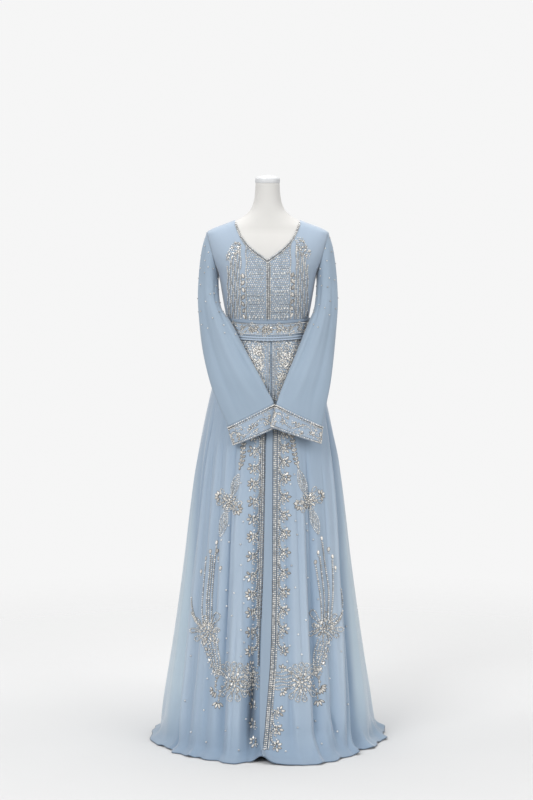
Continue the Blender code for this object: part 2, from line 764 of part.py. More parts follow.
def make_stand():
    cap_low = NECK_TOP_Z + SEAM
    profile = [(radius, cap_low + height) for radius, height in CAP_PROFILE]
    turned("form_neck_cap", profile, CAP_WHITE, 0.35)

    pole_top = TORSO_BOTTOM_Z - SEAM
    pole_low = BASE_PROFILE[0][1] + SEAM
    profile = [(0.0, pole_top), (POLE_RADIUS, pole_top), (POLE_RADIUS, pole_low), (0.0, pole_low)]
    turned("form_pole", profile, POLISHED_METAL, 0.25, 1.0)
    turned("form_base", BASE_PROFILE, POLISHED_METAL, 0.3, 1.0)


def main():
    make_bodice()
    make_skirt()
    make_belt()
    make_sleeve("left", -1.0, LEFT_SLEEVE)
    make_sleeve("right", 1.0, RIGHT_SLEEVE)
    make_torso()
    make_stand()


for old in list(bpy.data.objects):
    bpy.data.objects.remove(old, do_unlink=True)
PARTS = bpy.data.collections.new("kaftan_on_dress_form")
bpy.context.scene.collection.children.link(PARTS)
main()
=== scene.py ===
"""Looks of a long beaded kaftan gown with its own belt, standing on a limbless dress form.

Metres, +Z up. The front faces -Y, and +X is the viewer's right. The cloth is made by the same
sections and fold lines as the solids, divided more finely, with its lesser creases added. An
azimuth is an angle round the upright axis, in degrees: 0 is the front, 90 is +X, 180 is the back.
"""

import json
import math

import bpy
import numpy as np
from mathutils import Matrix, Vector
from mathutils.bvhtree import BVHTree


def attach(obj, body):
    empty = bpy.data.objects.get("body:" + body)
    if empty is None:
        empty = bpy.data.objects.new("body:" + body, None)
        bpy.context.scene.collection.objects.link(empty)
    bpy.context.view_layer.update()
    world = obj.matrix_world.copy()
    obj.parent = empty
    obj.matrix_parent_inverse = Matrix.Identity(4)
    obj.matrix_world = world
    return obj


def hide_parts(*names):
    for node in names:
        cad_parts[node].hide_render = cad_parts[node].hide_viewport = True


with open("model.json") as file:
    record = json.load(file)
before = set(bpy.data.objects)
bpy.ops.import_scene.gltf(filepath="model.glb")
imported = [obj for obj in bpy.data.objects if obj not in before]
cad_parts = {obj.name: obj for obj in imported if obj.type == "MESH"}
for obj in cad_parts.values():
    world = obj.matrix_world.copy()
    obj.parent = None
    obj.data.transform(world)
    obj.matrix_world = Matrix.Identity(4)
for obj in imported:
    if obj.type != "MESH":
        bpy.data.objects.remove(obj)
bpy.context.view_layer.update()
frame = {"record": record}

# Cloth
WALL = 0.0015
CUFF_WALL = 0.0024
SEAM = 0.0003
HEM_ROLL_RADIUS = 0.0013

# Heights of the cut
WAIST_Z = 1.172
ARMPIT_Z = 1.33
SHOULDER_TIP_Z = 1.4485
NECK_POINT_Z = 1.4812
BELT_BOTTOM_Z = 1.1475
BELT_HEIGHT = 0.057

# How far the cloth stands off the figure, and how far the lapped front stands off the other
SHOULDER_EASE = 0.0008
BODY_EASE = 0.004
EASE_LOW_Z = 1.35
EASE_HIGH_Z = 1.44
LAP_LIFT = 0.0024
UNDERLAP_X = 0.024
LAP_FADE_X = 0.12

# The belt
BELT_CLEARANCE = 0.001
BELT_DIP = 0.004
BELT_DIP_AZIMUTH = 35.0
LAP_RUN = 0.02
GATHERS = 40
GATHER_FROM = 0.82
GATHER_RISE = 0.0005
GATHER_WIDTH = 32.0
# How thick the belt's wall is on average, and how strongly its thicker cords take painted light and
# its grooves painted shade
BELT_MEAN_WALL = 0.0034
BELT_PAINTED_SHADE = 12.0

# How finely each piece is divided
STEPS_PER_FOLD = 15
STEPS_PER_BACK_FOLD = 6
STEPS_PER_SKIRT_ROW = 12
STEPS_PER_BODICE_ROW = 5
BODICE_COLUMNS = 56
BELT_COLUMNS = 240
BELT_STEPS_PER_PART = 4
SLEEVE_COLUMNS = 96
SLEEVE_STEPS_PER_ROW = 18
CUFF_STEPS = 14
FORM_COLUMNS = 96
FORM_STEPS_PER_ROW = 6

# The figure under the cloth, a squared oval at each height
FIGURE = (
    # height, half width, front depth, back depth, squareness
    (0.8, 0.146, 0.09, 0.11, 2.2),
    (0.88, 0.16, 0.1, 0.122, 2.2),
    (0.96, 0.156, 0.099, 0.116, 2.2),
    (1.04, 0.133, 0.089, 0.094, 2.2),
    (1.1, 0.114, 0.081, 0.081, 2.2),
    (1.14, 0.108, 0.079, 0.077, 2.2),
    (1.172, 0.108, 0.08, 0.077, 2.2),
    (1.21, 0.113, 0.087, 0.079, 2.2),
    (1.25, 0.12, 0.099, 0.082, 2.25),
    (1.28, 0.125, 0.104, 0.085, 2.3),
    (1.31, 0.13, 0.101, 0.087, 2.4),
    (1.34, 0.138, 0.095, 0.088, 2.6),
    (1.365, 0.151, 0.089, 0.087, 2.8),
    (1.39, 0.162, 0.083, 0.085, 3.0),
    (1.415, 0.169, 0.075, 0.081, 3.0),
    (1.435, 0.172, 0.066, 0.075, 2.8),
    (1.4485, 0.169, 0.059, 0.068, 2.5),
    (1.458, 0.152, 0.055, 0.063, 2.4),
    (1.468, 0.126, 0.052, 0.059, 2.3),
    (1.4785, 0.098, 0.049, 0.056, 2.2),
    (1.49, 0.074, 0.046, 0.053, 2.2),
    (1.505, 0.055, 0.043, 0.048, 2.1),
    (1.525, 0.043, 0.04, 0.043, 2.0),
    (1.55, 0.037, 0.037, 0.039, 2.0),
    (1.588, 0.034, 0.034, 0.034, 2.0),
)

# Rows of the bodice panels: where each meets the side, the front edge and the back edge
BODICE_ROWS = (
    # side height, front edge height, back edge height
    (1.172, 1.172, 1.172),
    (1.205, 1.212, 1.22),
    (1.24, 1.252, 1.268),
    (1.272, 1.292, 1.316),
    (1.303, 1.334, 1.364),
    (1.33, 1.374, 1.41),
    (1.348, 1.388, 1.438),
    (1.366, 1.403, 1.452),
    (1.385, 1.415, 1.4535),
    (1.402, 1.426, 1.456),
    (1.418, 1.443, 1.462),
    (1.434, 1.462, 1.4685),
)
SHOULDER_SEAM = (SHOULDER_TIP_Z, NECK_POINT_Z, NECK_POINT_Z)
SHOULDER_ROWS = 6
SHOULDER_ROUNDING = 2.2

# The neck edge, from the centre line up to the shoulder seam
FRONT_NECK = (
    # height, half width
    (1.374, 0.0),
    (1.403, 0.041),
    (1.426, 0.064),
    (1.443, 0.0755),
    (1.462, 0.084),
    (NECK_POINT_Z, 0.0915),
)
BACK_NECK = (
    # height, half width
    (1.452, 0.0),
    (1.4535, 0.03),
    (1.456, 0.05),
    (1.462, 0.068),
    (1.4685, 0.079),
    (NECK_POINT_Z, 0.0915),
)

# The skirt below the waist seam, an oval at each height, with the lapped edge down its front
SKIRT = (
    # height, half width, front depth, back depth, squareness, lapped edge x, placket width
    (1.172, 0.112, 0.084, 0.081, 2.2, 0.012, 0.01),
    (1.11, 0.1255, 0.099, 0.1, 2.2, 0.01, 0.012),
    (1.04, 0.148, 0.116, 0.122, 2.15, 0.006, 0.014),
    (0.96, 0.168, 0.129, 0.14, 2.1, 0.002, 0.015),
    (0.87, 0.187, 0.146, 0.158, 2.05, -0.003, 0.0165),
    (0.77, 0.205, 0.167, 0.178, 2.0, -0.006, 0.019),
    (0.65, 0.2215, 0.195, 0.2, 2.0, -0.008, 0.021),
    (0.52, 0.2365, 0.224, 0.224, 2.0, -0.011, 0.024),
    (0.39, 0.2535, 0.252, 0.248, 2.0, -0.015, 0.027),
    (0.26, 0.272, 0.28, 0.272, 2.0, -0.0195, 0.027),
    (0.14, 0.2915, 0.305, 0.295, 2.0, -0.0215, 0.02),
    (0.055, 0.305, 0.325, 0.311, 2.0, -0.021, 0.01),
    (0.018, 0.315, 0.34, 0.32, 2.0, -0.018, 0.008),
    (0.0015, 0.339, 0.372, 0.345, 2.0, -0.012, 0.007),
)
PLACKET_FIRST_ROW = 1
FULL_FOLD_Z = 0.1
HEM_TURN_Z = 0.03

# Fold lines of the skirt. Each runs from the waist to the hem, and its height is at the hem
SIDE_SEAM = 90.0
FRONT_FOLDS = (
    # azimuth at waist, azimuth at hem, height, height where it starts
    (-90.0, -90.0, 0.002, 0.95),
    (-86.0, -80.0, -0.004, 0.95),
    (-80.5, -66.0, 0.006, 1.0),
    (-74.0, -54.5, -0.016, 1.05),
    (-69.0, -50.0, 0.012, 1.05),
    (-60.0, -45.5, -0.002, 0.9),
    (-51.0, -41.5, 0.005, 0.85),
    (-43.0, -35.0, -0.004, 0.9),
    (-36.0, -29.5, 0.003, 0.9),
    (-30.5, -24.5, -0.012, 1.0),
    (-24.5, -20.0, 0.009, 1.0),
    (-19.0, -15.5, 0.008, 1.0),
    (-15.5, -12.5, -0.004, 0.95),
    (-9.0, -8.0, 0.0, 0.95),
    (12.0, 8.0, 0.0, 0.95),
    (16.0, 12.0, -0.003, 0.9),
    (19.5, 16.5, 0.009, 1.0),
    (27.0, 22.5, 0.009, 1.0),
    (32.0, 26.0, -0.012, 1.0),
    (40.0, 32.0, 0.005, 0.9),
    (49.0, 37.5, -0.004, 0.9),
    (60.0, 41.5, 0.01, 1.05),
    (75.0, 46.0, 0.012, 1.05),
    (80.0, 50.5, -0.02, 1.05),
    (84.0, 64.0, 0.008, 1.0),
    (87.0, 78.0, -0.004, 0.95),
    (90.0, 90.0, 0.002, 0.95),
)
BACK_FOLDS = (
    # azimuth at waist, azimuth at hem, height, height where it starts
    (90.0, 90.0, 0.002, 0.95),
    (98.0, 99.0, -0.008, 1.0),
    (106.0, 108.0, 0.009, 1.0),
    (113.0, 115.0, -0.007, 0.95),
    (121.0, 124.0, 0.007, 0.95),
    (128.0, 131.0, -0.009, 1.0),
    (137.0, 139.0, 0.01, 1.0),
    (145.0, 146.0, -0.006, 0.95),
    (152.0, 153.0, 0.008, 1.0),
    (160.0, 159.0, -0.009, 1.05),
    (168.0, 167.0, 0.009, 1.05),
    (176.0, 175.0, -0.007, 1.0),
    (184.0, 184.0, 0.008, 1.0),
    (192.0, 193.0, -0.009, 1.05),
    (200.0, 201.0, 0.007, 1.0),
    (207.0, 207.0, -0.006, 0.95),
    (215.0, 214.0, 0.01, 1.0),
    (223.0, 222.0, -0.009, 1.05),
    (231.0, 230.0, 0.008, 1.0),
    (239.0, 238.0, -0.007, 0.95),
    (247.0, 246.0, 0.009, 1.0),
    (255.0, 253.0, -0.008, 1.0),
    (262.0, 261.0, 0.006, 0.95),
    (270.0, 270.0, 0.002, 0.95),
)

# Lesser creases of the skirt, as soft ridges and troughs between a top and a foot
CREASES = (
    # azimuth at waist, azimuth at hem, top height, foot height, rise, width in degrees
    (-83.0, -73.0, 0.9, 0.02, 0.0035, 2.2),
    (-77.0, -60.0, 0.62, -0.16, -0.003, 1.8),
    (-66.0, -55.0, 0.78, 0.02, -0.007, 1.3),
    (-61.0, -58.0, 1.0, 0.5, -0.0085, 1.5),
    (-61.2, -49.7, 0.95, -0.1, 0.005, 1.5),
    (-58.0, -36.0, 0.95, 0.5, -0.003, 1.3),
    (-46.8, -41.8, 0.95, 0.46, 0.0036, 1.3),
    (-46.0, -27.0, 0.95, 0.5, -0.003, 1.1),
    (-38.6, -26.0, 0.95, 0.44, 0.0036, 1.2),
    (-26.6, -29.5, 0.98, 0.56, -0.003, 1.2),
    (-13.0, -34.0, 0.95, 0.5, 0.0034, 1.3),
    (-52.0, -44.0, 0.66, 0.1, -0.0034, 1.2),
    (-43.6, -30.2, 0.7, 0.2, -0.0034, 1.0),
    (-40.8, -27.6, 0.74, 0.16, 0.0032, 1.1),
    (-48.0, -37.0, 0.4, -0.16, 0.003, 1.1),
    (-29.2, -26.3, 0.74, 0.18, -0.0034, 0.9),
    (-27.2, -24.6, 0.78, 0.14, 0.0044, 1.1),
    (-20.0, -19.2, 0.44, -0.16, -0.003, 0.8),
    (-19.5, -13.4, 0.62, 0.3, -0.0036, 0.9),
    (-4.0, -10.9, 0.8, -0.16, -0.015, 2.8),
    (-9.5, -9.2, 0.32, -0.16, -0.019, 2.6),
    (14.0, 10.3, 0.55, 0.03, 0.0026, 0.8),
    (20.8, 7.5, 0.74, 0.2, -0.0036, 1.6),
    (6.0, 15.6, 0.26, -0.1, 0.0036, 1.0),
    (23.5, 19.6, 0.8, 0.1, -0.0026, 0.9),
    (29.4, 22.6, 0.84, 0.14, 0.004, 1.4),
    (36.8, 27.4, 0.88, 0.16, -0.0062, 1.2),
    (38.0, 30.4, 0.82, 0.1, -0.005, 1.9),
    (40.0, 32.6, 0.6, 0.16, 0.0026, 0.8),
    (44.5, 34.6, 0.5, -0.16, 0.003, 0.9),
    (-2.6, 41.2, 0.22, -0.16, -0.006, 1.2),
    (-6.0, 37.9, 0.2, -0.16, 0.004, 1.1),
    (54.0, 39.6, 0.85, 0.1, -0.0024, 0.9),
    (70.4, 41.8, 0.95, -0.06, 0.0044, 1.6),
    (77.5, 44.6, 0.98, -0.16, -0.011, 1.8),
    (80.9, 40.3, 1.0, 0.34, -0.0115, 1.9),
    (84.5, 54.0, 0.95, 0.06, 0.0085, 3.2),
    (85.5, 71.0, 0.9, 0.04, 0.0034, 2.4),
    (94.0, 94.5, 0.6, -0.16, 0.0026, 1.3),
    (99.0, 100.0, 0.92, -0.1, -0.0062, 1.7),
    (104.0, 105.5, 0.78, -0.16, 0.0052, 1.5),
    (111.5, 112.5, 0.9, 0.04, -0.005, 1.5),
    (117.0, 119.5, 0.7, -0.16, 0.0028, 1.2),
    (132.5, 135.0, 0.55, 0.04, -0.0026, 1.2),
    (141.0, 142.5, 0.8, 0.14, 0.0022, 1.0),
    (156.0, 156.0, 0.6, -0.16, 0.0026, 1.1),
    (172.0, 171.0, 0.75, 0.06, -0.0024, 1.2),
    (188.5, 189.0, 0.55, -0.16, 0.0028, 1.2),
    (204.0, 204.5, 0.85, 0.12, -0.0022, 1.0),
    (219.0, 218.0, 0.6, -0.16, 0.0026, 1.1),
    (235.0, 234.0, 0.7, 0.05, -0.0026, 1.2),
    (247.0, 246.0, 0.88, -0.06, -0.0052, 1.5),
    (254.0, 253.0, 0.74, -0.16, 0.0048, 1.4),
    (260.5, 259.5, 0.92, 0.02, -0.0058, 1.6),
    (266.0, 265.5, 0.8, 0.1, -0.0024, 1.4),
)
# Creases and folds keep these shares of their depth at the hem, and all of it above this height
HEM_CREASED = 0.3
HEM_FOLDED = 0.6
SETTLING_Z = 0.11
CREASE_FADE_Z = 0.16

# Where the left front sinks back beside and under the lapped edge
UNDERLAP_CREASES = (
    # azimuth at waist, azimuth at hem, top height, foot height, rise, width in degrees
    (-3.6, -5.2, 0.42, -0.16, -0.018, 3.2),
    (-8.0, -10.5, 0.48, -0.16, -0.007, 2.2),
)

# Ripples where the hem meets the floor
HEM_RIPPLES = (
    # azimuth, reach, lift, width in degrees
    (-86.0, -0.006, 0.002, 4.0),
    (-76.0, 0.008, 0.0, 5.0),
    (-62.0, -0.004, 0.003, 2.0),
    (-56.0, 0.004, 0.002, 2.0),
    (-39.5, 0.003, 0.004, 1.4),
    (-34.0, -0.002, 0.002, 1.6),
    (-16.0, 0.006, 0.0, 6.0),
    (-2.6, -0.008, 0.018, 3.8),
    (11.0, 0.012, 0.0, 5.0),
    (25.0, 0.028, 0.0, 12.0),
    (24.0, 0.005, 0.004, 1.6),
    (35.0, -0.004, 0.003, 1.8),
    (47.0, 0.007, 0.008, 1.6),
    (52.5, -0.006, 0.003, 1.4),
    (59.0, 0.01, 0.005, 2.0),
    (68.0, -0.008, 0.003, 2.4),
    (77.0, 0.015, 0.005, 2.6),
    (86.0, -0.006, 0.004, 2.6),
    (97.0, 0.009, 0.008, 2.6),
    (110.0, -0.007, 0.003, 2.4),
    (122.0, 0.008, 0.007, 2.2),
    (136.0, 0.009, 0.008, 2.4),
    (149.0, -0.007, 0.003, 2.4),
    (163.0, 0.009, 0.008, 2.4),
    (178.0, -0.006, 0.003, 2.6),
    (193.0, 0.008, 0.007, 2.2),
    (208.0, -0.007, 0.003, 2.4),
    (222.0, 0.009, 0.008, 2.4),
    (238.0, 0.008, 0.007, 2.2),
    (252.0, -0.016, 0.002, 6.0),
    (264.0, -0.014, 0.003, 5.0),
)
RIPPLE_TOP_Z = 0.075

# Lesser creases of the bodice, beside its darts and across its back
FRONT_CREASES = (
    # azimuth at waist, azimuth at hem, top height, foot height, rise, width in degrees
    (72.0, 72.0, 1.3, 1.13, 0.001, 3.0),
    (82.0, 84.0, 1.33, 1.15, -0.0012, 3.0),
)
BACK_CREASES = (
    # azimuth at waist, azimuth at hem, top height, foot height, rise, width in degrees
    (18.0, 20.0, 1.33, 1.11, 0.0012, 3.4),
    (31.0, 30.0, 1.29, 1.12, -0.0011, 3.0),
    (48.0, 52.0, 1.36, 1.12, 0.0013, 4.0),
    (66.0, 64.0, 1.3, 1.12, -0.0012, 3.6),
    (80.0, 83.0, 1.34, 1.12, 0.0012, 3.2),
)
BODICE_FADE_Z = 0.07

# The belt's section, bottom to top: how thick it is at each part of its height
BELT_SECTION = (
    # part of the height, thickness
    (0.0, 0.0022),
    (0.06, 0.0044),
    (0.13, 0.0026),
    (0.2, 0.0044),
    (0.28, 0.0026),
    (0.36, 0.0042),
    (0.8, 0.004),
    (0.86, 0.0028),
    (1.0, 0.0024),
)

# The sleeves below the armhole: the outer fold and the inner fold of the flattened tube
LEFT_SLEEVE = (
    # outer x, outer y, outer z, inner x, inner y, inner z, half thickness
    (-0.182, -0.006, 1.412, -0.1405, -0.016, 1.303, 0.04),
    (-0.192, -0.018, 1.33, -0.133, -0.048, 1.238, 0.031),
    (-0.194, -0.04, 1.235, -0.104, -0.076, 1.195, 0.026),
    (-0.183, -0.066, 1.125, -0.062, -0.11, 1.117, 0.021),
    (-0.162, -0.104, 1.035, -0.026, -0.136, 1.055, 0.016),
    (-0.138, -0.128, 0.97, -0.002, -0.146, 1.009, 0.013),
    (-0.11, -0.143, 0.909, 0.016, -0.152, 0.973, 0.012),
    (-0.093, -0.158, 0.857, 0.021, -0.166, 0.905, 0.012),
)
RIGHT_SLEEVE = (
    # outer x, outer y, outer z, inner x, inner y, inner z, half thickness
    (0.182, -0.006, 1.412, 0.1405, -0.016, 1.303, 0.04),
    (0.193, -0.018, 1.33, 0.134, -0.046, 1.238, 0.031),
    (0.196, -0.04, 1.235, 0.117, -0.072, 1.195, 0.026),
    (0.188, -0.066, 1.125, 0.086, -0.1, 1.12, 0.021),
    (0.177, -0.104, 1.035, 0.058, -0.13, 1.056, 0.016),
    (0.165, -0.128, 0.975, 0.0385, -0.146, 1.009, 0.013),
    (0.152, -0.143, 0.91, 0.026, -0.162, 0.972, 0.012),
    (0.147, -0.158, 0.861, 0.011, -0.186, 0.91, 0.012),
)
ARMHOLE_HALF_THICKNESS = 0.046
ARMHOLE_FADE_ROW = 0.4
SLEEVE_FADE = 0.25
BODICE_FACES_SIDE = 0.92
CUFF_SEAM_ROW = 7
CUFF_END_ROW = 8

# Soft creases along the sleeves. A turn of 0 is the outer fold, 90 the front and 180 the inner fold
SLEEVE_CREASES = (
    # turn at top, turn at foot, first row, last row, rise, width in degrees
    (20.0, 35.0, 0.4, 4.0, 0.0026, 9.0),
    (62.0, 70.0, 1.5, 6.6, -0.0022, 10.0),
    (95.0, 112.0, 2.0, 6.8, 0.0024, 9.0),
    (128.0, 140.0, 0.6, 5.4, -0.0026, 9.0),
    (150.0, 158.0, 2.6, 6.9, 0.0014, 8.0),
    (200.0, 215.0, 0.5, 5.0, -0.0026, 9.0),
    (238.0, 245.0, 1.0, 3.4, 0.0024, 10.0),
    (282.0, 272.0, 0.5, 5.6, -0.0026, 10.0),
    (325.0, 310.0, 0.8, 3.6, 0.0024, 10.0),
)

# The neck cap of the form, turned about the upright axis
NECK_TOP_Z = 1.588
CAP_PROFILE = (
    # radius, height above the neck
    (0.0, 0.022),
    (0.008, 0.0217),
    (0.0158, 0.0208),
    (0.0235, 0.019),
    (0.0298, 0.0163),
    (0.0335, 0.0138),
    (0.0348, 0.0118),
    (0.035, 0.01),
    (0.035, 0.0016),
    (0.0346, 0.0006),
    (0.0338, 0.0001),
    (0.0, 0.0),
)

# The camera, the floor and the backdrop
CAMERA_PLACE = (-0.003, -6.5, 1.595)
CAMERA_DOWN = 5.5
LENS = 102.6
SENSOR_HEIGHT = 36.0
FLOOR_CLEAR = 0.42
FLOOR_EDGE = 2.8
# Where the floor's painted light makes it paler, from near to far
FLOOR_NEAR_Y = -0.15
FLOOR_FAR_Y = 0.9
FLOOR_CORNERS = 64
FLOOR_DROP = 0.0002
ROOM_POWER = 0.55
ROOM_HEIGHTS = (-0.6, 1.0)
LIGHTS = (
    # name, place, target, size, power
    ("key", (-2.2, -3.6, 3.2), (0.0, 0.0, 0.9), 2.2, 120.0),
    ("fill", (2.8, -3.0, 2.2), (0.0, 0.0, 0.8), 2.6, 60.0),
    ("top", (0.0, 0.6, 3.6), (0.0, 0.0, 1.0), 2.4, 60.0),
)

# The shapes of beads: radius and height of each ring, or the leaf's breadth and height by layers
# The broad low first ring or layer of each shape takes the painted shade of its finish, as a dark rim
# round the bead
SEED_RINGS = ((0.6, 0.04), (0.33, 0.9))
PEARL_RINGS = ((0.56, 0.04), (0.47, 0.45), (0.25, 0.95))
OVAL_RINGS = ((0.57, 0.04), (0.42, 0.6), (0.24, 1.0))
LEAF_LAYERS = ((1.2, 0.04), (0.8, 0.6))

# Sizes of the beads, and how closely and evenly they are strung or stitched
SEED_SIZE = 0.0038
PEARL_SIZE = 0.0054
FILL_SIZE = 0.0034
STRING_PITCH = 1.1
STRING_UNEVEN = 0.12
STITCH_PITCH = 3.4
STITCH_LENGTH = 3.5
BEAD_SINK = 0.0002
CURL_TURN = 330.0
RING_END = 300.0
DISC_END = 345.0

# Sizes of the stones: the length of a chevron's leaf, then lengths with widths, some with heights
CHEVRON_LENGTH = 0.0112
FAN_STONE = (0.0052, 0.0046, 0.0028)
OVAL_DROP = (0.0125, 0.0084)
DROP_LEAF = (0.013, 0.0066)
STALK_LEAF = (0.0085, 0.0046)
CURL_LEAF = (0.0078, 0.0042)
VINE_LEAF = (0.0078, 0.0044)
PANEL_LEAF = (0.0084, 0.0046)
SHOULDER_LEAF = (0.0096, 0.0052)
CUFF_LEAF = (0.0082, 0.0048)
CRYSTAL = (0.015, 0.0084, 0.0036)

# How a long leaf is filled: its edge's pearls (pitch, size), its rows' and beads' pitch in beads,
# how pointed it is, and how far its rows bend back
LEAF_EDGE = (0.0052, 0.0046)
LEAF_ROW_PITCH = 1.08
LEAF_BEAD_PITCH = 1.1
LEAF_POINT = 0.8
LEAF_SLANT = 0.5

# How far round the patterns of the belt, cuffs and sleeves go, and where beads are strewn on the
# sleeves and the back
BELT_ROUND = 0.722
CUFF_ROUND = 0.3
SLEEVE_ROUND = 0.32
SLEEVE_BEADS_LOW = 0.26
SLEEVE_BEADS_HIGH = 0.52
BACK_PEARLS = ((-0.27, 0.04), (0.27, 0.04), (0.1, 1.1), (-0.1, 1.1))

# The strings and dark threads round the belt, each by its height and size; the threads are partly
# dark stitching and partly painted shade between the strings
BELT_STRINGS = ((0.0472, 0.003), (0.02, 0.0028))
BELT_THREADS = ((0.0018, 0.0024), (0.0075, 0.0018), (0.0145, 0.002), (0.05, 0.0014))

# The dense hearts of the flowers: rings of leaves (count, radius, length, width, turn), the stone
# (turn, length, width, height), then the reach and the spacing of the beads strewn over them
STAR_HEART = (
    ((10, 0.0165, 0.0125, 0.0062), (6, 0.0074, 0.009, 0.0054, 25.0)),
    (0.6, 0.007, 0.0062),
    0.026,
    0.006,
)
MIDDLE_HEART = (
    ((10, 0.02, 0.0125, 0.0062, 8.0), (7, 0.0095, 0.0098, 0.0056, 20.0)),
    (0.3, 0.008, 0.0072, 0.004),
    0.031,
    0.0062,
)
RINGED_HEART = (
    ((11, 0.0225, 0.0135, 0.0068), (7, 0.011, 0.011, 0.0062, 20.0)),
    (0.3, 0.009, 0.008, 0.0042),
    0.034,
    0.0062,
)

# The borders beside the lap: the inner edges, and the strings of each stripe
BORDER_EDGES = (
    # height, left border's edge, right border's edge
    (0.032, -0.0212, -0.0128),
    (0.044, -0.022, -0.011),
    (0.084, -0.0245, -0.007),
    (0.164, -0.0245, 0.0),
    (0.245, -0.0225, 0.007),
    (0.326, -0.0205, 0.011),
    (0.434, -0.0165, 0.013),
    (0.543, -0.012, 0.0145),
    (0.706, -0.0085, 0.0153),
    (0.843, -0.0075, 0.0158),
    (0.96, -0.005, 0.0175),
)
# Each border: its strings and its threads (distance from the edge, size), and how far from the
# edge its scrolls and its clusters start (height, distance). The threads are partly painted shade.
RIGHT_BORDER = (
    ((0.0028, 0.005), (0.0072, 0.005), (0.0146, 0.0048)),
    ((-0.0006, 0.0016), (0.0109, 0.0018)),
    ((0.032, 0.0185), (0.96, 0.0175)),
    ((0.032, 0.033), (0.96, 0.033)),
)
LEFT_BORDER = (
    ((0.004, 0.0046), (0.009, 0.0042)),
    ((0.0, 0.0034), (0.0065, 0.002), (0.0114, 0.0016)),
    ((0.26, 0.007), (0.38, 0.0074), (0.47, 0.0132)),
    ((0.2, 0.0125), (0.26, 0.024), (0.38, 0.0262), (0.47, 0.032)),
)

# How low the left border's stripe and scrolls reach, the widest gap between clusters that a
# scroll fills, and how unevenly the clusters lean, in degrees
LEFT_BORDER_LOW = 0.38
LEFT_SCROLLS_LOW = 0.25
BORDER_GAP = 0.085
BORDER_LEAN = 20.0

# Fans of leaves. Those of the clusters (leaves, spread) share one length, reach and breadth, and
# each has a small fan at its base. Those of the ringed flowers have their own spread and sizes
BORDER_FANS = ((4, 128.0), (3, 104.0), (3, 104.0))
BORDER_FAN_SIZES = (0.0134, 0.0052, 0.0076)
BORDER_SMALL_FAN = (2, 205.0, 0.008, 0.0016, 0.005)
LOW_FAN_SIZES = (96.0, 0.0168, 0.0052, 0.0058)

# Each cluster's stem (size), ring (place inward and down, radius, size of its beads) and pearl
# (place outward and up, size)
BORDER_STEM = 0.0046
BORDER_RING = ((0.004, 0.0075), 0.0034, 0.0036)
BORDER_PEARL = ((-0.002, 0.0095), 0.0048)

# The left border below its stripe: a thread, partly painted shade, and a string (distance from the
# edge, size)
LOW_LEFT_THREAD = (0.0004, 0.0026)
LOW_LEFT_STRING = (0.004, 0.0046)

# The scrolls between the clusters: size, reach and added height of their two lines
SCROLL_STRING = (0.0054, 0.011, 0.0)
SCROLL_THREAD = (0.0018, 0.0142, 0.003)
SCROLL_TURN = 128.0
SCROLL_MIDDLE = 0.0115
SCROLL_SHARE = 0.42

# Heights of the clusters, from the top down
RIGHT_CLUSTERS = (
    0.893, 0.852, 0.813, 0.77, 0.716, 0.668, 0.618, 0.565, 0.509, 0.458, 0.408, 0.356, 0.3,
    0.137, 0.089, 0.046,
)
LEFT_CLUSTERS = (
    0.885, 0.843, 0.796, 0.752, 0.703, 0.656, 0.607, 0.553, 0.5, 0.45, 0.4, 0.347, 0.295,
    0.147, 0.094, 0.05,
)

# The worked front below the belt, in outlines left and right of its middle, and its bright places
FRONT_PANEL_TOP = 1.15
FRONT_PANEL_LOW = 0.955
FRONT_PANEL_STRINGS = ((-0.002, 0.0036), (0.0046, 0.0046), (0.0156, 0.0044), (0.0206, 0.0034))
FRONT_PANEL = (
    ((-0.125, 1.15), (-0.006, 1.15), (-0.006, 0.955), (-0.036, 0.955), (-0.07, 1.05)),
    ((0.024, 1.15), (0.14, 1.15), (0.1, 1.05), (0.062, 0.955), (0.024, 0.955)),
)
FRONT_PANEL_BRIGHT = (
    # centre, radius
    ((-0.031, 1.078), 0.021),
    ((-0.027, 1.117), 0.013),
    ((0.053, 1.094), 0.025),
    ((-0.018, 1.03), 0.012),
    ((0.04, 1.045), 0.012),
)

# Chevrons of leaves that hang to the stars, by points of their spines
GARLANDS = (
    ((-0.062, 0.905), (-0.066, 0.872), (-0.069, 0.846), (-0.071, 0.818), (-0.078, 0.792)),
    ((0.066, 0.905), (0.07, 0.872), (0.074, 0.846), (0.079, 0.818), (0.086, 0.795)),
)

# The long stars: centre, leaves (base, tip, width), fans (base, turn, leaves), loops
STARS = (
    (
        (-0.107, 0.696),
        (((-0.1, 0.714), (-0.081, 0.776), 0.0195), ((-0.114, 0.678), (-0.133, 0.6), 0.0195)),
        (((-0.133, 0.709), 158.0, 5), ((-0.086, 0.68), -32.0, 5)),
        (
            ((-0.118, 0.708), 118.0, 0.026, 0.012),
            ((-0.122, 0.696), 200.0, 0.022, 0.011),
            ((-0.092, 0.69), 25.0, 0.022, 0.011),
            ((-0.097, 0.683), -70.0, 0.02, 0.01),
        ),
    ),
    (
        (0.115, 0.699),
        (((0.108, 0.716), (0.086, 0.788), 0.02), ((0.121, 0.681), (0.143, 0.606), 0.021)),
        (((0.146, 0.711), 22.0, 5), ((0.09, 0.692), 208.0, 5)),
        (
            ((0.122, 0.712), 62.0, 0.028, 0.013),
            ((0.13, 0.7), -15.0, 0.024, 0.011),
            ((0.1, 0.694), 165.0, 0.022, 0.011),
            ((0.106, 0.686), 240.0, 0.018, 0.01),
        ),
    ),
)

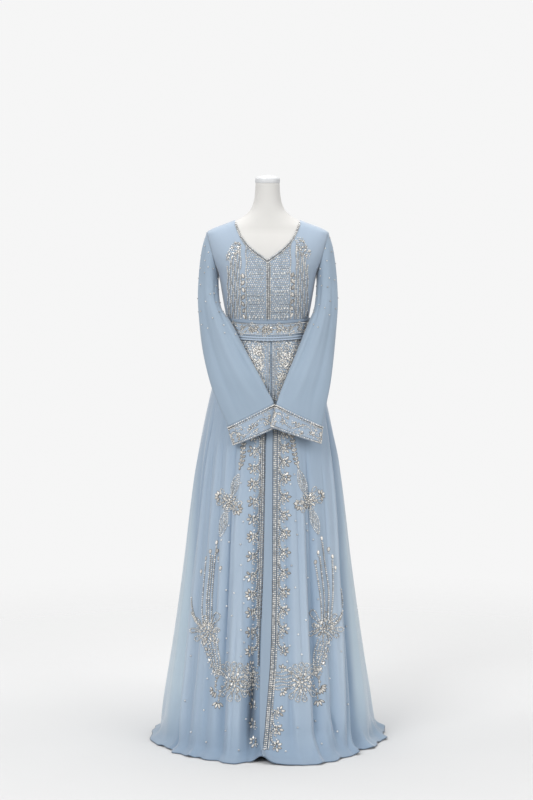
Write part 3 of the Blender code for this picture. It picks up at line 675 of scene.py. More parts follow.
# The hanging strings (points, whether doubled) and the oval stones above them
HANGING = (
    (
        (
            (((-0.143, 0.573), (-0.149, 0.52), (-0.155, 0.44), (-0.157, 0.36)), False),
            (((-0.16, 0.548), (-0.163, 0.5), (-0.17, 0.43), (-0.171, 0.36)), True),
            (((-0.173, 0.526), (-0.178, 0.47), (-0.183, 0.396), (-0.179, 0.35)), False),
            (((-0.214, 0.425), (-0.212, 0.395), (-0.202, 0.362), (-0.184, 0.344)), False),
        ),
        (
            (-0.143, 0.583), (-0.161, 0.557), (-0.141, 0.56), (-0.173, 0.535), (-0.137, 0.54),
            (-0.187, 0.497), (-0.132, 0.515),
        ),
    ),
    (
        (
            (((0.135, 0.521), (0.143, 0.47), (0.149, 0.42), (0.151, 0.365)), False),
            (((0.146, 0.546), (0.152, 0.49), (0.158, 0.43), (0.158, 0.365)), False),
            (((0.153, 0.584), (0.161, 0.52), (0.171, 0.45), (0.169, 0.365)), False),
            (((0.182, 0.531), (0.184, 0.48), (0.183, 0.42), (0.176, 0.36)), False),
            (((0.206, 0.45), (0.211, 0.41), (0.207, 0.378), (0.186, 0.352)), False),
        ),
        (
            (0.152, 0.593), (0.172, 0.561), (0.142, 0.556), (0.183, 0.54), (0.134, 0.53),
            (0.191, 0.508),
        ),
    ),
)

# The middle flowers: centre, loops (turn, length, width) and arms of strings
MIDDLE_FLOWERS = (
    (
        (-0.168, 0.336),
        (
            (60.0, 0.044, 0.017),
            (100.0, 0.026, 0.013),
            (140.0, 0.028, 0.013),
            (184.0, 0.032, 0.012),
            (219.0, 0.028, 0.012),
            (250.0, 0.02, 0.011),
            (20.0, 0.018, 0.011),
            (-35.0, 0.02, 0.011),
        ),
        (((-0.214, 0.38), (-0.205, 0.362), (-0.192, 0.346), (-0.178, 0.34)),),
    ),
    (
        (0.159, 0.347),
        (
            (127.0, 0.044, 0.018),
            (82.0, 0.026, 0.013),
            (45.0, 0.03, 0.013),
            (-10.0, 0.036, 0.012),
            (-34.0, 0.03, 0.012),
            (-62.0, 0.022, 0.011),
            (160.0, 0.018, 0.011),
            (198.0, 0.028, 0.012),
        ),
        (((0.211, 0.382), (0.203, 0.364), (0.19, 0.354), (0.175, 0.35)),),
    ),
)

# The falling bands: inner edge, outer edge, and which side is outward
FALLING_BANDS = (
    (
        ((-0.14, 0.318), (-0.137, 0.29), (-0.132, 0.262), (-0.134, 0.228)),
        ((-0.178, 0.308), (-0.168, 0.28), (-0.16, 0.254), (-0.147, 0.222)),
        -1.0,
    ),
    (
        ((0.14, 0.318), (0.131, 0.288), (0.127, 0.256), (0.132, 0.226)),
        ((0.171, 0.312), (0.166, 0.283), (0.156, 0.256), (0.143, 0.228)),
        1.0,
    ),
)

# The ringed flowers: centre, petals' turns, low petals (turn, length), fans and stalks
RINGED_FLOWERS = (
    (
        (-0.092, 0.212),
        (48.0, 70.0, 91.0, 112.0, 134.0, 156.0),
        ((-129.0, 0.032), (-105.0, 0.028), (-78.0, 0.026), (-52.0, 0.026)),
        (((-0.144, 0.182), 214.0, 5), ((-0.137, 0.153), 262.0, 4)),
        (
            ((-0.112, 0.2), (-0.124, 0.19), (-0.133, 0.176), (-0.136, 0.156)),
            ((-0.134, 0.226), (-0.141, 0.212), (-0.145, 0.198), (-0.144, 0.185)),
        ),
    ),
    (
        (0.095, 0.21),
        (28.0, 50.0, 72.0, 92.0, 113.0, 134.0),
        ((-128.0, 0.028), (-104.0, 0.026), (-80.0, 0.026), (-50.0, 0.032)),
        (((0.144, 0.19), -36.0, 5), ((0.14, 0.158), -74.0, 4)),
        (
            ((0.116, 0.2), (0.128, 0.19), (0.137, 0.176), (0.14, 0.161)),
            ((0.132, 0.222), (0.141, 0.214), (0.145, 0.204), (0.144, 0.193)),
        ),
    ),
)

# A small ring beside the right ringed flower
LOW_RING = (0.14, 0.229)

# The strings that link the borders to the ringed flowers: side, near x, far x, low and high
LINKS = (
    (-1.0, -0.026, -0.066, 0.186, 0.244),
    (1.0, 0.012, 0.068, 0.194, 0.24),
)

# Single pearls on the front of the skirt
SKIRT_PEARLS = (
    (0.107, 0.377), (0.085, 0.34), (0.094, 0.285), (0.062, 0.309), (0.054, 0.267), (0.207, 0.279),
    (0.172, 0.209), (0.133, 0.098), (0.083, 0.09), (0.195, 0.063), (0.223, 0.336), (0.226, 0.13),
    (-0.115, 0.411), (-0.067, 0.424), (-0.099, 0.389), (-0.074, 0.352), (-0.113, 0.324),
    (-0.066, 0.318), (-0.111, 0.286), (-0.074, 0.281), (-0.216, 0.263), (-0.168, 0.209),
    (-0.178, 0.123), (-0.061, 0.108), (-0.115, 0.077), (-0.17, 0.039), (-0.075, 0.752),
    (-0.05, 0.731), (-0.068, 0.646), (-0.109, 0.632), (-0.108, 0.587), (-0.129, 0.592),
    (-0.075, 0.584), (-0.074, 0.528), (-0.066, 0.488), (-0.116, 0.455), (-0.093, 0.451),
    (0.075, 0.775), (0.064, 0.749), (0.078, 0.648), (0.109, 0.637), (0.111, 0.618), (0.082, 0.61),
    (0.128, 0.592), (0.067, 0.527), (0.111, 0.489), (0.077, 0.467), (0.142, 0.429),
    (-0.232, 0.14), (0.15, 0.04), (0.05, 0.03), (-0.08, 0.03), (-0.213, 0.058),
)

# The bodice's beadwork, first the strings (x, size) and threads down its middle, the threads partly
# painted shade
BODICE_BEADS_LOW = 1.206
BODICE_MIDDLE_STRINGS = ((-0.002, 0.0044), (0.003, 0.004), (0.0078, 0.0044))
BODICE_MIDDLE_THREADS = (0.0005, 0.0054)
BODICE_MESH = (
    ((-0.056, 1.206), (-0.006, 1.206), (-0.006, 1.362), (-0.038, 1.392), (-0.056, 1.408)),
    ((0.011, 1.206), (0.06, 1.206), (0.06, 1.412), (0.04, 1.396), (0.011, 1.37)),
)
BODICE_THREADS = (
    # x at one end, x at the other, height, tilt
    (-0.056, -0.009, 1.345, 0.002),
    (0.016, 0.061, 1.346, 0.003),
    (-0.056, -0.009, 1.321, -0.001),
    (0.016, 0.061, 1.319, 0.004),
    (-0.056, -0.009, 1.297, 0.001),
    (0.016, 0.061, 1.297, 0.001),
    (-0.056, -0.009, 1.272, 0.0),
    (0.016, 0.061, 1.273, 0.002),
    (-0.056, -0.009, 1.248, 0.002),
    (0.016, 0.061, 1.246, 0.003),
    (-0.056, -0.009, 1.224, 0.0),
    (0.016, 0.061, 1.225, 0.001),
)
BODICE_BRIGHT_ROWS = (
    # x at one end, x at the other, height, tilt
    (-0.054, -0.01, 1.334, 0.001),
    (0.018, 0.06, 1.334, 0.003),
    (0.018, 0.06, 1.285, 0.002),
    (-0.054, -0.01, 1.26, 0.001),
    (0.018, 0.06, 1.236, 0.002),
    (-0.054, -0.01, 1.212, 0.0),
    (0.018, 0.06, 1.212, 0.001),
)
BODICE_STRINGS = (
    # x, lowest, highest
    (-0.06, 1.206, 1.412), (-0.076, 1.345, 1.414), (-0.0815, 1.206, 1.406),
    (-0.0875, 1.206, 1.4), (-0.0935, 1.206, 1.394), (-0.0995, 1.206, 1.384),
    (-0.1055, 1.208, 1.372), (-0.1115, 1.212, 1.356), (0.064, 1.206, 1.418),
    (0.081, 1.345, 1.424), (0.0825, 1.206, 1.404), (0.0885, 1.206, 1.402), (0.0945, 1.206, 1.396),
    (0.1005, 1.206, 1.388), (0.1065, 1.208, 1.376), (0.1125, 1.212, 1.36),
    (-0.0755, 1.206, 1.332), (0.0765, 1.206, 1.332),
)
BODICE_CRYSTALS = (
    (-0.069, 1.328), (-0.069, 1.309), (-0.068, 1.289), (-0.068, 1.269), (-0.069, 1.249),
    (-0.067, 1.23), (-0.066, 1.213), (0.07, 1.331), (0.071, 1.314), (0.071, 1.296),
    (0.07, 1.276), (0.069, 1.256), (0.068, 1.237), (0.068, 1.218),
)
BODICE_SHOULDERS = (
    ((0.078, 1.432), (0.098, 1.44), (0.122, 1.398), (0.118, 1.372), (0.08, 1.4)),
    ((-0.076, 1.42), (-0.09, 1.428), (-0.118, 1.39), (-0.114, 1.366), (-0.08, 1.392)),
)

# Colours, as linear values
# The chiffons: each light colour is mixed towards its deep one as painted shade in the fold troughs,
# towards the hem and near the floor, and by random clouds and streaks
CHIFFON_LIGHT = (0.4, 0.478, 0.566, 1.0)
CHIFFON_DEEP = (0.245, 0.335, 0.45, 1.0)
# The painted light round the skirt's sides
CHIFFON_SIDE_LIT = (0.448, 0.545, 0.622, 1.0)
SLEEVE_LIGHT = (0.35, 0.43, 0.52, 1.0)
SLEEVE_DEEP = (0.235, 0.31, 0.395, 1.0)
PLACKET_LIGHT = (0.325, 0.396, 0.475, 1.0)
PLACKET_DEEP = (0.23, 0.3, 0.39, 1.0)
BEADED_LIGHT = (0.41, 0.49, 0.585, 1.0)
BEADED_DEEP = (0.255, 0.325, 0.415, 1.0)
HEM_LIGHT = (0.19, 0.25, 0.33, 1.0)
HEM_DEEP = (0.13, 0.18, 0.25, 1.0)
FORM_WHITE = (0.65, 0.64, 0.62, 1.0)
FORM_SHADE = (0.59, 0.58, 0.56, 1.0)
CAP_WHITE = (0.66, 0.67, 0.68, 1.0)
# The beads: each runs from its light colour down to its shade colour towards the cloth, as painted
# shade
SILVER_LIGHT = (0.9, 0.88, 0.835, 1.0)
SILVER_SHADE = (0.12, 0.122, 0.128, 1.0)
CRYSTAL_LIGHT = (0.88, 0.85, 0.79, 1.0)
CRYSTAL_SHADE = (0.15, 0.135, 0.12, 1.0)
LEAF_LIGHT = (0.81, 0.785, 0.735, 1.0)
LEAF_SHADE = (0.118, 0.112, 0.104, 1.0)
PEARL_WHITE = (0.82, 0.83, 0.82, 1.0)
PEARL_SHADE = (0.2, 0.22, 0.25, 1.0)
# The dark thread, partly painted shade between the beads, with its own painted shade towards the
# cloth
THREAD_LIGHT = (0.165, 0.175, 0.19, 1.0)
THREAD_SHADE = (0.1, 0.105, 0.115, 1.0)
STEEL = (0.56, 0.57, 0.58, 1.0)
FLOOR_WHITE = (0.69, 0.69, 0.69, 1.0)
# The far floor's painted light
FLOOR_FAR_LIT = (0.82, 0.82, 0.82, 1.0)
BACKDROP_WHITE = (0.92, 0.92, 0.92, 1.0)
ROOM_LOW = (0.7, 0.7, 0.7, 1.0)
ROOM_HIGH = (1.0, 1.0, 1.0, 1.0)

# The weave, in threads to the metre, and its bump
CHIFFON_THREADS = 1700.0
JERSEY_THREADS = 900.0
WEAVE_DISTORTION = 0.4
WEAVE_DEPTH = 0.00012
GRAIN_SCALE = 0.6
BRUSH_STRETCH = (3.0, 3.0, 400.0)

# Unevenness of the chiffon: its clouds and streaks, and each one's share of the colour
CLOUDS = (5.0, 3.0)
STREAK_SCALE = 60.0
STREAK_STRETCH = (1.0, 0.05, 1.0)
CLOUD_TINT = (0.35, -0.175)
STREAK_TINT = (0.3, -0.15)

# How the chiffon's colour follows the rise of its folds (factor, offset): painted light on the
# ridges, painted shade in the troughs, and a deeper painted shade in the hollows
PAINTED_FOLD_SHADE = (38.0, 0.5)
PAINTED_HOLLOW_SHADE = (-60.0, -1.4)
HOLLOW_SHADE = 0.55

# How its painted shade follows its height (two heights, then the value at each): the paleness fades
# towards the hem, the hollows are shaded more low down, and a painted shade lies near the floor
ABOVE_HEM = (0.0, 0.26, 0.36, 1.0)
LOW_HOLLOWS = (0.16, 0.03, 0.0, 0.75)
PAINTED_FLOOR_SHADE = (0.1, 0.0, 0.0, 0.3)

# Where painted light makes the skirt paler at its sides, by the share of x in the reach and by the
# height
SIDE_LEAN = (-0.2, 0.084)
SIDE_FROM = (0.879, 0.93)
SIDE_BELOW = (0.9, 0.55)
SIDE_OFF_FLOOR = (0.03, 0.17, 0.2, 1.0)

# How much lighter and darker single beads are (factor, offset)
BEAD_TONES = (0.75, 0.35)

# The finishes of the beads, each darkened towards the cloth as painted shade
BEAD_FINISHES = (
    # name, colour, painted shade near the cloth, the part of the height it changes over, how
    # metallic, roughness, coat
    ("bead_silver", SILVER_LIGHT, SILVER_SHADE, (0.15, 0.7), 0.12, 0.32),
    ("bead_pearl", PEARL_WHITE, PEARL_SHADE, (0.1, 0.55), 0.0, 0.3, 0.2),
    ("bead_crystal", CRYSTAL_LIGHT, CRYSTAL_SHADE, (0.2, 0.75), 0.1, 0.22, 0.2),
    ("dark_thread_and_shade", THREAD_LIGHT, THREAD_SHADE, (0.0, 1.0), 0.3, 0.45),
    ("bead_leaf", LEAF_LIGHT, LEAF_SHADE, (0.25, 0.8), 0.1, 0.24, 0.2),
)


# Curves through the tables


def smooth(table, column, at):
    """A column of a table at places of its first column, on a smooth curve through the rows."""
    places, values = np.array(column_of(table, 0)), np.array(column_of(table, column))
    slopes = np.gradient(values, places)
    step = np.clip(np.searchsorted(places, at) - 1, 0, len(places) - 2)
    width = places[step + 1] - places[step]
    u = np.clip((at - places[step]) / width, 0.0, 1.0)
    return (
        (2 * u**3 - 3 * u**2 + 1) * values[step]
        + (u**3 - 2 * u**2 + u) * width * slopes[step]
        + (3 * u**2 - 2 * u**3) * values[step + 1]
        + (u**3 - u**2) * width * slopes[step + 1]
    )


def along(table, rows):
    """All the columns of a table at row numbers, which may lie between two rows."""
    numbered = [(i, *values) for i, values in enumerate(table)]
    return np.stack([smooth(numbered, c, rows) for c in range(1, len(numbered[0]))], axis=-1)


def row_numbers(first, last, steps):
    """Row numbers from the first to the last, with this many steps for each row."""
    return first + np.arange((last - first) * steps + 1) / steps


def ease_in(u):
    """Rises smoothly from 0 to 1 as u does."""
    u = np.clip(u, 0.0, 1.0)
    return u * u * (3 - 2 * u)


def soft_line(distance, width):
    """A soft ridge of height 1 across a distance from its line."""
    return np.exp(-((distance / width) ** 2))


def apart(angle, other):
    """The turn from one angle to another in degrees, the short way round."""
    return (angle - other + 180.0) % 360.0 - 180.0


def unit(vectors):
    return vectors / np.linalg.norm(vectors, axis=-1, keepdims=True)


def full_turn(count):
    """Angles evenly round a circle, in radians."""
    return np.arange(count) * 2 * math.pi / count


def azimuths_round(count):
    return np.arange(count) * 360.0 / count


def column_of(table, column):
    return [row[column] for row in table]


# The figure and the bodice's surface on it


def oval(half_width, front, back, squareness, azimuth):
    """Points of a squared oval, as x and y."""
    turn = np.radians(azimuth)
    across = np.sin(turn)
    ahead = np.cos(turn)
    depth = np.where(ahead > 0, front, back)
    x = half_width * np.sign(across) * np.abs(across) ** (2 / squareness)
    y = -depth * np.sign(ahead) * np.abs(ahead) ** (2 / squareness)
    return x, y


def azimuth_at(x, half_width, squareness):
    """The azimuth on the front of a squared oval where it reaches this x."""
    share = np.clip(np.abs(x) / half_width, 0.0, 1.0) ** (squareness / 2)
    return np.sign(x) * np.degrees(np.arcsin(share))


def eased_section(height):
    """Half width, front, back and squareness of the bodice's inner side at a height."""
    near_shoulder = ease_in((height - EASE_LOW_Z) / (EASE_HIGH_Z - EASE_LOW_Z))
    ease = BODY_EASE + (SHOULDER_EASE - BODY_EASE) * near_shoulder
    body_height = height - SHOULDER_EASE * near_shoulder
    section = [smooth(FIGURE, column, body_height) for column in range(1, 5)]
    return section[0] + ease, section[1] + ease, section[2] + ease, section[3]


def bodice_points(azimuth, height):
    x, y = oval(*eased_section(height), azimuth)
    return np.stack([x, y, height * np.ones_like(x)], axis=-1)


def armhole_x(height):
    """The armhole lies in a plane, from the armpit out to the shoulder tip."""
    armpit = eased_section(ARMPIT_Z)[0]
    tip = eased_section(SHOULDER_TIP_Z)[0]
    return armpit + (tip - armpit) * (height - ARMPIT_Z) / (SHOULDER_TIP_Z - ARMPIT_Z)


def armhole_azimuth(height):
    """Azimuth of the armhole's front edge at heights, and of the side seam below it."""
    half_width, _, _, squareness = eased_section(height)
    azimuth = azimuth_at(armhole_x(height), half_width, squareness)
    return np.where((height > ARMPIT_Z) & (height < SHOULDER_TIP_Z), azimuth, SIDE_SEAM)


def neck_azimuth(neck, height):
    """Azimuth of the neck edge at heights, and 0, the centre line, below it."""
    half_width, _, _, squareness = eased_section(height)
    x = np.interp(height, column_of(neck, 0), column_of(neck, 1))
    return azimuth_at(x, half_width, squareness)


# Walls of cloth


def outward_vectors(points, closed=False, flip=False):
    """Unit vectors out of a grid of points, whose columns run to the left of its rows' rise."""
    grid = np.concatenate([points[:, -1:], points, points[:, :1]], axis=1) if closed else points
    out = np.cross(np.gradient(grid, axis=1), np.gradient(grid, axis=0))
    if closed:
        out = out[:, 1:-1]
    out /= np.maximum(np.linalg.norm(out, axis=2, keepdims=True), 1e-12)
    return -out if flip else out


def flattened(vectors, axis):
    """The vectors without one component, so that walls meet squarely at a seam."""
    flat = vectors.copy()
    flat[..., axis] = 0.0
    return unit(flat)


def grid_quads(rows, columns, closed=False, flip=False, first=0):
    """The quads of a grid of points, as an array with four corners in each row."""
    row, column = np.mgrid[0 : rows - 1, 0 : columns if closed else columns - 1]
    after = (column + 1) % columns
    low, high = first + row * columns, first + (row + 1) * columns
    quads = np.stack([low + column, low + after, high + after, high + column], axis=-1)
    quads = quads.reshape(-1, 4)
    return quads[:, ::-1] if flip else quads


def cloth_lengths(points):
    """Distances along the rows and down the columns of a grid, in metres, for the weave."""
    across = np.linalg.norm(np.diff(points, axis=1, prepend=points[:, :1]), axis=2)
    down = np.linalg.norm(np.diff(points, axis=0, prepend=points[:1]), axis=2)
    return np.stack([np.cumsum(across, axis=1), np.cumsum(down, axis=0)], axis=-1)


def tube_faces(rows, sides):
    """The faces of a closed tube of points, with a flat end below and above."""
    count = rows * sides
    faces = grid_quads(rows, sides, closed=True).tolist()
    return [*faces, list(range(sides))[::-1], list(range(count - sides, count))]


def set_attribute(mesh, name, values, kind="FLOAT", field="value"):
    attribute = mesh.attributes.new(name, kind, "POINT")
    attribute.data.foreach_set(field, np.asarray(values, np.float32).ravel())


def add_object(name, data):
    obj = bpy.data.objects.new(name, data)
    bpy.context.scene.collection.objects.link(obj)
    return obj


def new_object(name, points, faces, materials, smooth_faces=True):
    mesh = bpy.data.meshes.new(name)
    mesh.from_pydata(points.tolist(), [], faces)
    for material in materials:
        mesh.materials.append(material)
    if smooth_faces:
        mesh.shade_smooth()
    return add_object(name, mesh)


SKINS = {}


def cloth_wall(name, inner, outer, quads, material, rise, lengths=None):
    """A closed wall between an inner and an outer skin, with its edges closed.

    It keeps the outer skin for the beads. The rise of the folds and the distances along the
    cloth go with the points, for the painted light and shade of its folds and for its weave.
    """
    SKINS[name] = (outer.reshape(-1, 3), quads)
    lengths = cloth_lengths(inner) if lengths is None else lengths
    flat_inner = inner.reshape(-1, 3)
    rounded = np.round(flat_inner, 7)
    _, kept, place = np.unique(rounded, axis=0, return_index=True, return_inverse=True)
    welded = place.reshape(-1)[quads]
    count = len(kept)
    edges = np.concatenate([welded[:, [i, (i + 1) % 4]] for i in range(4)])
    keys = {(a, b) for a, b in edges.tolist()}
    rim = [(a, b, b + count, a + count) for a, b in sorted(keys) if (b, a) not in keys]
    faces = (welded + count).tolist() + welded[:, ::-1].tolist() + rim
    points = np.concatenate([flat_inner[kept], outer.reshape(-1, 3)[kept]])
    obj = new_object(name, points, faces, [material])
    both = np.concatenate([lengths.reshape(-1, 2)[kept]] * 2)
    spread = np.column_stack([both, np.zeros(len(both))])
    set_attribute(obj.data, "cloth", spread, "FLOAT_VECTOR", "vector")
    set_attribute(obj.data, "rise", np.concatenate([rise.reshape(-1)[kept]] * 2))
    return obj


# Materials


def add_node(tree, kind, inputs=(), **settings):
    """A node with its settings, and its inputs given as values or as other nodes' outputs."""
    node = tree.nodes.new(kind)
    for name, value in settings.items():
        setattr(node, name, value)
    for socket, value in inputs:
        if isinstance(value, bpy.types.NodeSocket):
            tree.links.new(value, node.inputs[socket])
        else:
            node.inputs[socket].default_value = value
    return node


def new_material(name, **values):
    """A material with a Principled shader, whose named inputs get these values."""
    material = bpy.data.materials.new(name)
    material.use_nodes = True
    shader = material.node_tree.nodes["Principled BSDF"]
    for socket, value in values.items():
        shader.inputs[socket.replace("_", " ")].default_value = value
    return material, material.node_tree, shader


def drive(tree, shader, **outputs):
    """The shader's named inputs follow the outputs of other nodes."""
    for socket, output in outputs.items():
        tree.links.new(output, shader.inputs[socket.replace("_", " ")])


def mixed(tree, factor, first, second):
    """The output of a colour mix, from the first at 0 to the second at 1."""
    inputs = ((0, factor), (6, first), (7, second))
    return add_node(tree, "ShaderNodeMix", inputs, data_type="RGBA").outputs[2]


def math_node(tree, operation, *values, clamp=False):
    inputs = enumerate(values)
    return add_node(tree, "ShaderNodeMath", inputs, operation=operation, use_clamp=clamp).outputs[0]


def multiply_add(tree, value, factor, offset):
    return math_node(tree, "MULTIPLY_ADD", value, factor, offset)


def noise(tree, vector, scale, detail=2.0):
    inputs = (("Vector", vector), ("Scale", scale), ("Detail", detail))
    return add_node(tree, "ShaderNodeTexNoise", inputs).outputs["Fac"]


def ramp(tree, value, low, high, start=0.0, end=1.0, kind="LINEAR"):
    """A value carried from one range to another, and held at both ends."""
    ends = (("From Min", low), ("From Max", high), ("To Min", start), ("To Max", end))
    inputs = (("Value", value), *ends)
    return add_node(tree, "ShaderNodeMapRange", inputs, interpolation_type=kind).outputs["Result"]


def object_place(tree):
    return add_node(tree, "ShaderNodeTexCoord").outputs["Object"]


def parts_of(tree, vector):
    return add_node(tree, "ShaderNodeSeparateXYZ", ((0, vector),)).outputs


def length_of(tree, vector):
    node = add_node(tree, "ShaderNodeVectorMath", ((0, vector),), operation="LENGTH")
    return node.outputs["Value"]


def drawn_out(tree, vector, scale):
    inputs = (("Vector", vector), ("Scale", scale))
    return add_node(tree, "ShaderNodeMapping", inputs).outputs["Vector"]


def kept_value(tree, name, output="Fac"):
    """A value that the points of the mesh carry."""
    return add_node(tree, "ShaderNodeAttribute", attribute_name=name).outputs[output]


def dimmed(colour, share):
    return tuple(share * part for part in colour[:3]) + (1.0,)


def woven_bump(tree, vector, threads_per_metre, strength):
    """A plain weave of fine crossed threads with an uneven crepe grain, as a bump."""
    wave_scale = threads_per_metre * math.pi / 10
    waves = []
    for direction in ("X", "Y"):
        inputs = (("Vector", vector), ("Scale", wave_scale), ("Distortion", WEAVE_DISTORTION))
        wave = add_node(tree, "ShaderNodeTexWave", inputs, bands_direction=direction)
        waves.append(wave.outputs["Fac"])
    grain = noise(tree, vector, threads_per_metre * GRAIN_SCALE)
    height = math_node(tree, "ADD", math_node(tree, "ADD", *waves), grain)
    inputs = (("Height", height), ("Strength", strength), ("Distance", WEAVE_DEPTH))
    return add_node(tree, "ShaderNodeBump", inputs).outputs["Normal"]


def chiffon(name, light, deep, side=None):
    """Chiffon: soft, matt and a little paler on its ridges as painted light, with painted shade in
    its troughs and hollows, random clouds and streaks of tone, and a faint bloom.
    """
    material, tree, shader = new_material(
        name, Roughness=0.72, Sheen_Weight=0.6, Sheen_Roughness=0.4, Specular_IOR_Level=0.22
    )
    cloth = kept_value(tree, "cloth", "Vector")
    rise = kept_value(tree, "rise")
    parts = parts_of(tree, object_place(tree))
    streaks = noise(tree, drawn_out(tree, cloth, STREAK_STRETCH), STREAK_SCALE)
    from_cloud = multiply_add(tree, noise(tree, cloth, *CLOUDS), *CLOUD_TINT)
    uneven = math_node(tree, "ADD", from_cloud, multiply_add(tree, streaks, *STREAK_TINT))
    # Painted light on the ridges and painted shade in the troughs, from the rise of the folds
    even = math_node(tree, "ADD", multiply_add(tree, rise, *PAINTED_FOLD_SHADE), uneven, clamp=True)
    # Painted shade towards the hem: less paleness low down
    above_hem = ramp(tree, parts["Z"], *ABOVE_HEM)
    factor = math_node(tree, "MULTIPLY", even, above_hem, clamp=True)
    # Painted shade in the deep hollows, deeper low down, and painted shade near the floor
    low_down = ramp(tree, parts["Z"], *LOW_HOLLOWS)
    sunken = math_node(tree, "ADD", multiply_add(tree, rise, *PAINTED_HOLLOW_SHADE), low_down)
    near_floor = ramp(tree, parts["Z"], *PAINTED_FLOOR_SHADE)
    shaded = math_node(tree, "MAXIMUM", sunken, near_floor, clamp=True)
    colour = mixed(tree, shaded, mixed(tree, factor, deep, light), dimmed(deep, HOLLOW_SHADE))
    # Painted light round the sides of the skirt
    if side:
        colour = painted_side_light(tree, colour, side, parts)
    drive(tree, shader, Base_Color=colour, Normal=woven_bump(tree, cloth, CHIFFON_THREADS, 0.25))
    return material


def painted_side_light(tree, colour, side, parts):
    """The skirt's colour, paler round its sides with painted light."""
    flat = add_node(tree, "ShaderNodeCombineXYZ", ((0, parts["X"]), (1, parts["Y"]))).outputs[0]
    sideways = math_node(tree, "ABSOLUTE", parts["X"])
    share = math_node(tree, "DIVIDE", sideways, length_of(tree, flat))
    place = math_node(tree, "ADD", share, multiply_add(tree, parts["Z"], *SIDE_LEAN))
    round_side = ramp(tree, place, *SIDE_FROM, kind="SMOOTHSTEP")
    low_down = ramp(tree, parts["Z"], *SIDE_BELOW)
    between = math_node(tree, "MULTIPLY", low_down, ramp(tree, parts["Z"], *SIDE_OFF_FLOOR))
    return mixed(tree, math_node(tree, "MULTIPLY", round_side, between), colour, side)


def metal(name, colour):
    """Brushed metal, with fine lines round it."""
    material, tree, shader = new_material(name, Metallic=0.9)
    brushed = noise(tree, drawn_out(tree, object_place(tree), BRUSH_STRETCH), 6.0)
    shown = mixed(tree, brushed, dimmed(colour, 0.8), colour)
    drive(tree, shader, Base_Color=shown, Roughness=multiply_add(tree, brushed, 0.25, 0.2))
    return material


def jersey(name, light, shade):
    """The fine knitted cover of the form."""
    material, tree, shader = new_material(
        name, Roughness=0.75, Sheen_Weight=0.2, Specular_IOR_Level=0.25
    )
    place = object_place(tree)
    shown = mixed(tree, noise(tree, place, 9.0), shade, light)
    drive(tree, shader, Base_Color=shown, Normal=woven_bump(tree, place, JERSEY_THREADS, 0.2))
    return material


def glossy(name, colour, roughness):
    """A smooth painted surface with a slight unevenness."""
    material, tree, shader = new_material(name, Specular_IOR_Level=0.5)
    grain = noise(tree, object_place(tree), 60.0)
    shown = mixed(tree, grain, dimmed(colour, 0.94), colour)
    drive(tree, shader, Base_Color=shown, Roughness=multiply_add(tree, grain, 0.1, roughness))
    return material


def bead_finish(name, light, dark, from_lift, metallic, roughness, coat=0.0):
    """Beads with painted shade towards the cloth, that differ a little in tone from one to the next.
    """
    material, tree, shader = new_material(
        name, Metallic=metallic, Roughness=roughness, Coat_Weight=coat, Coat_Roughness=0.05
    )
    # Painted shade at the foot of each bead, by its height
    raised = ramp(tree, kept_value(tree, "lift"), *from_lift)
    varied = multiply_add(tree, kept_value(tree, "tone"), *BEAD_TONES)
    factor = math_node(tree, "MULTIPLY", raised, varied, clamp=True)
    drive(tree, shader, Base_Color=mixed(tree, factor, dark, light))
    return material


# The bodice


def bodice_table():
    """The table's rows, then rows over the shoulder that end at its seam."""
    last = np.array(BODICE_ROWS[-1])
    seam = np.array(SHOULDER_SEAM)
    parts = [(1 - i / SHOULDER_ROWS) ** SHOULDER_ROUNDING for i in range(1, SHOULDER_ROWS + 1)]
    return [*BODICE_ROWS, *(tuple(seam + (last - seam) * part) for part in parts)]


def bodice_panel(edge_column, neck, behind):
    """Points and outward vectors of half a bodice panel, from its middle edge to its side."""
    table = bodice_table()
    last = len(table) - 1
    rows = row_numbers(0, last, STEPS_PER_BODICE_ROW)
    heights = along(table, rows)
    side_height, edge_height = heights[:, 0], heights[:, edge_column]
    over = np.clip(rows - last + 1, 0.0, 1.0)
    edge_azimuth = neck_azimuth(neck, edge_height)
    edge_azimuth += (SIDE_SEAM - edge_azimuth) * over
    side_azimuth = armhole_azimuth(side_height)
    u = np.linspace(0.0, 1.0, BODICE_COLUMNS)
    azimuth = edge_azimuth[:, None] + (side_azimuth - edge_azimuth)[:, None] * u
    height = edge_height[:, None] + (side_height - edge_height)[:, None] * u
    points = bodice_points(180.0 - azimuth if behind else azimuth, height)
    rise = crease_rise(BACK_CREASES if behind else FRONT_CREASES, azimuth, height, BODICE_FADE_Z)
    points += outward_vectors(points, flip=behind) * rise[..., None]
    out = outward_vectors(points, flip=behind)

    below_armpit = side_height <= ARMPIT_Z + 1e-6
    seam_y = SEAM / 2 if behind else -SEAM / 2
    out[0] = flattened(out[0], 2)
    points[0, :, 2] += SEAM / 2
    out[below_armpit, -1] = flattened(out[below_armpit, -1], 1)
    points[below_armpit, -1, 1] = seam_y
    out[-1] = flattened(out[-1], 1)
    points[-1, :, 1] = seam_y
    middle = edge_height <= neck[0][0] + 1e-6
    out[middle, 0] = flattened(out[middle, 0], 0)
    points[middle, 0, 0] = 0.0 if behind else SEAM / 2
    return points, out, rise


def crease_rise(creases, azimuth, height, fade):
    """How far the lesser creases raise the cloth at azimuths and heights."""
    rise = np.zeros_like(azimuth)
    for top_azimuth, foot_azimuth, top, foot, crease, width in creases:
        fallen = 1.0 - height / WAIST_Z
        centre = top_azimuth + (foot_azimuth - top_azimuth) * fallen
        shown = ease_in((top - height) / fade) * ease_in((height - foot) / fade)
        rise = rise + crease * soft_line(apart(azimuth, centre), width) * shown
    return rise


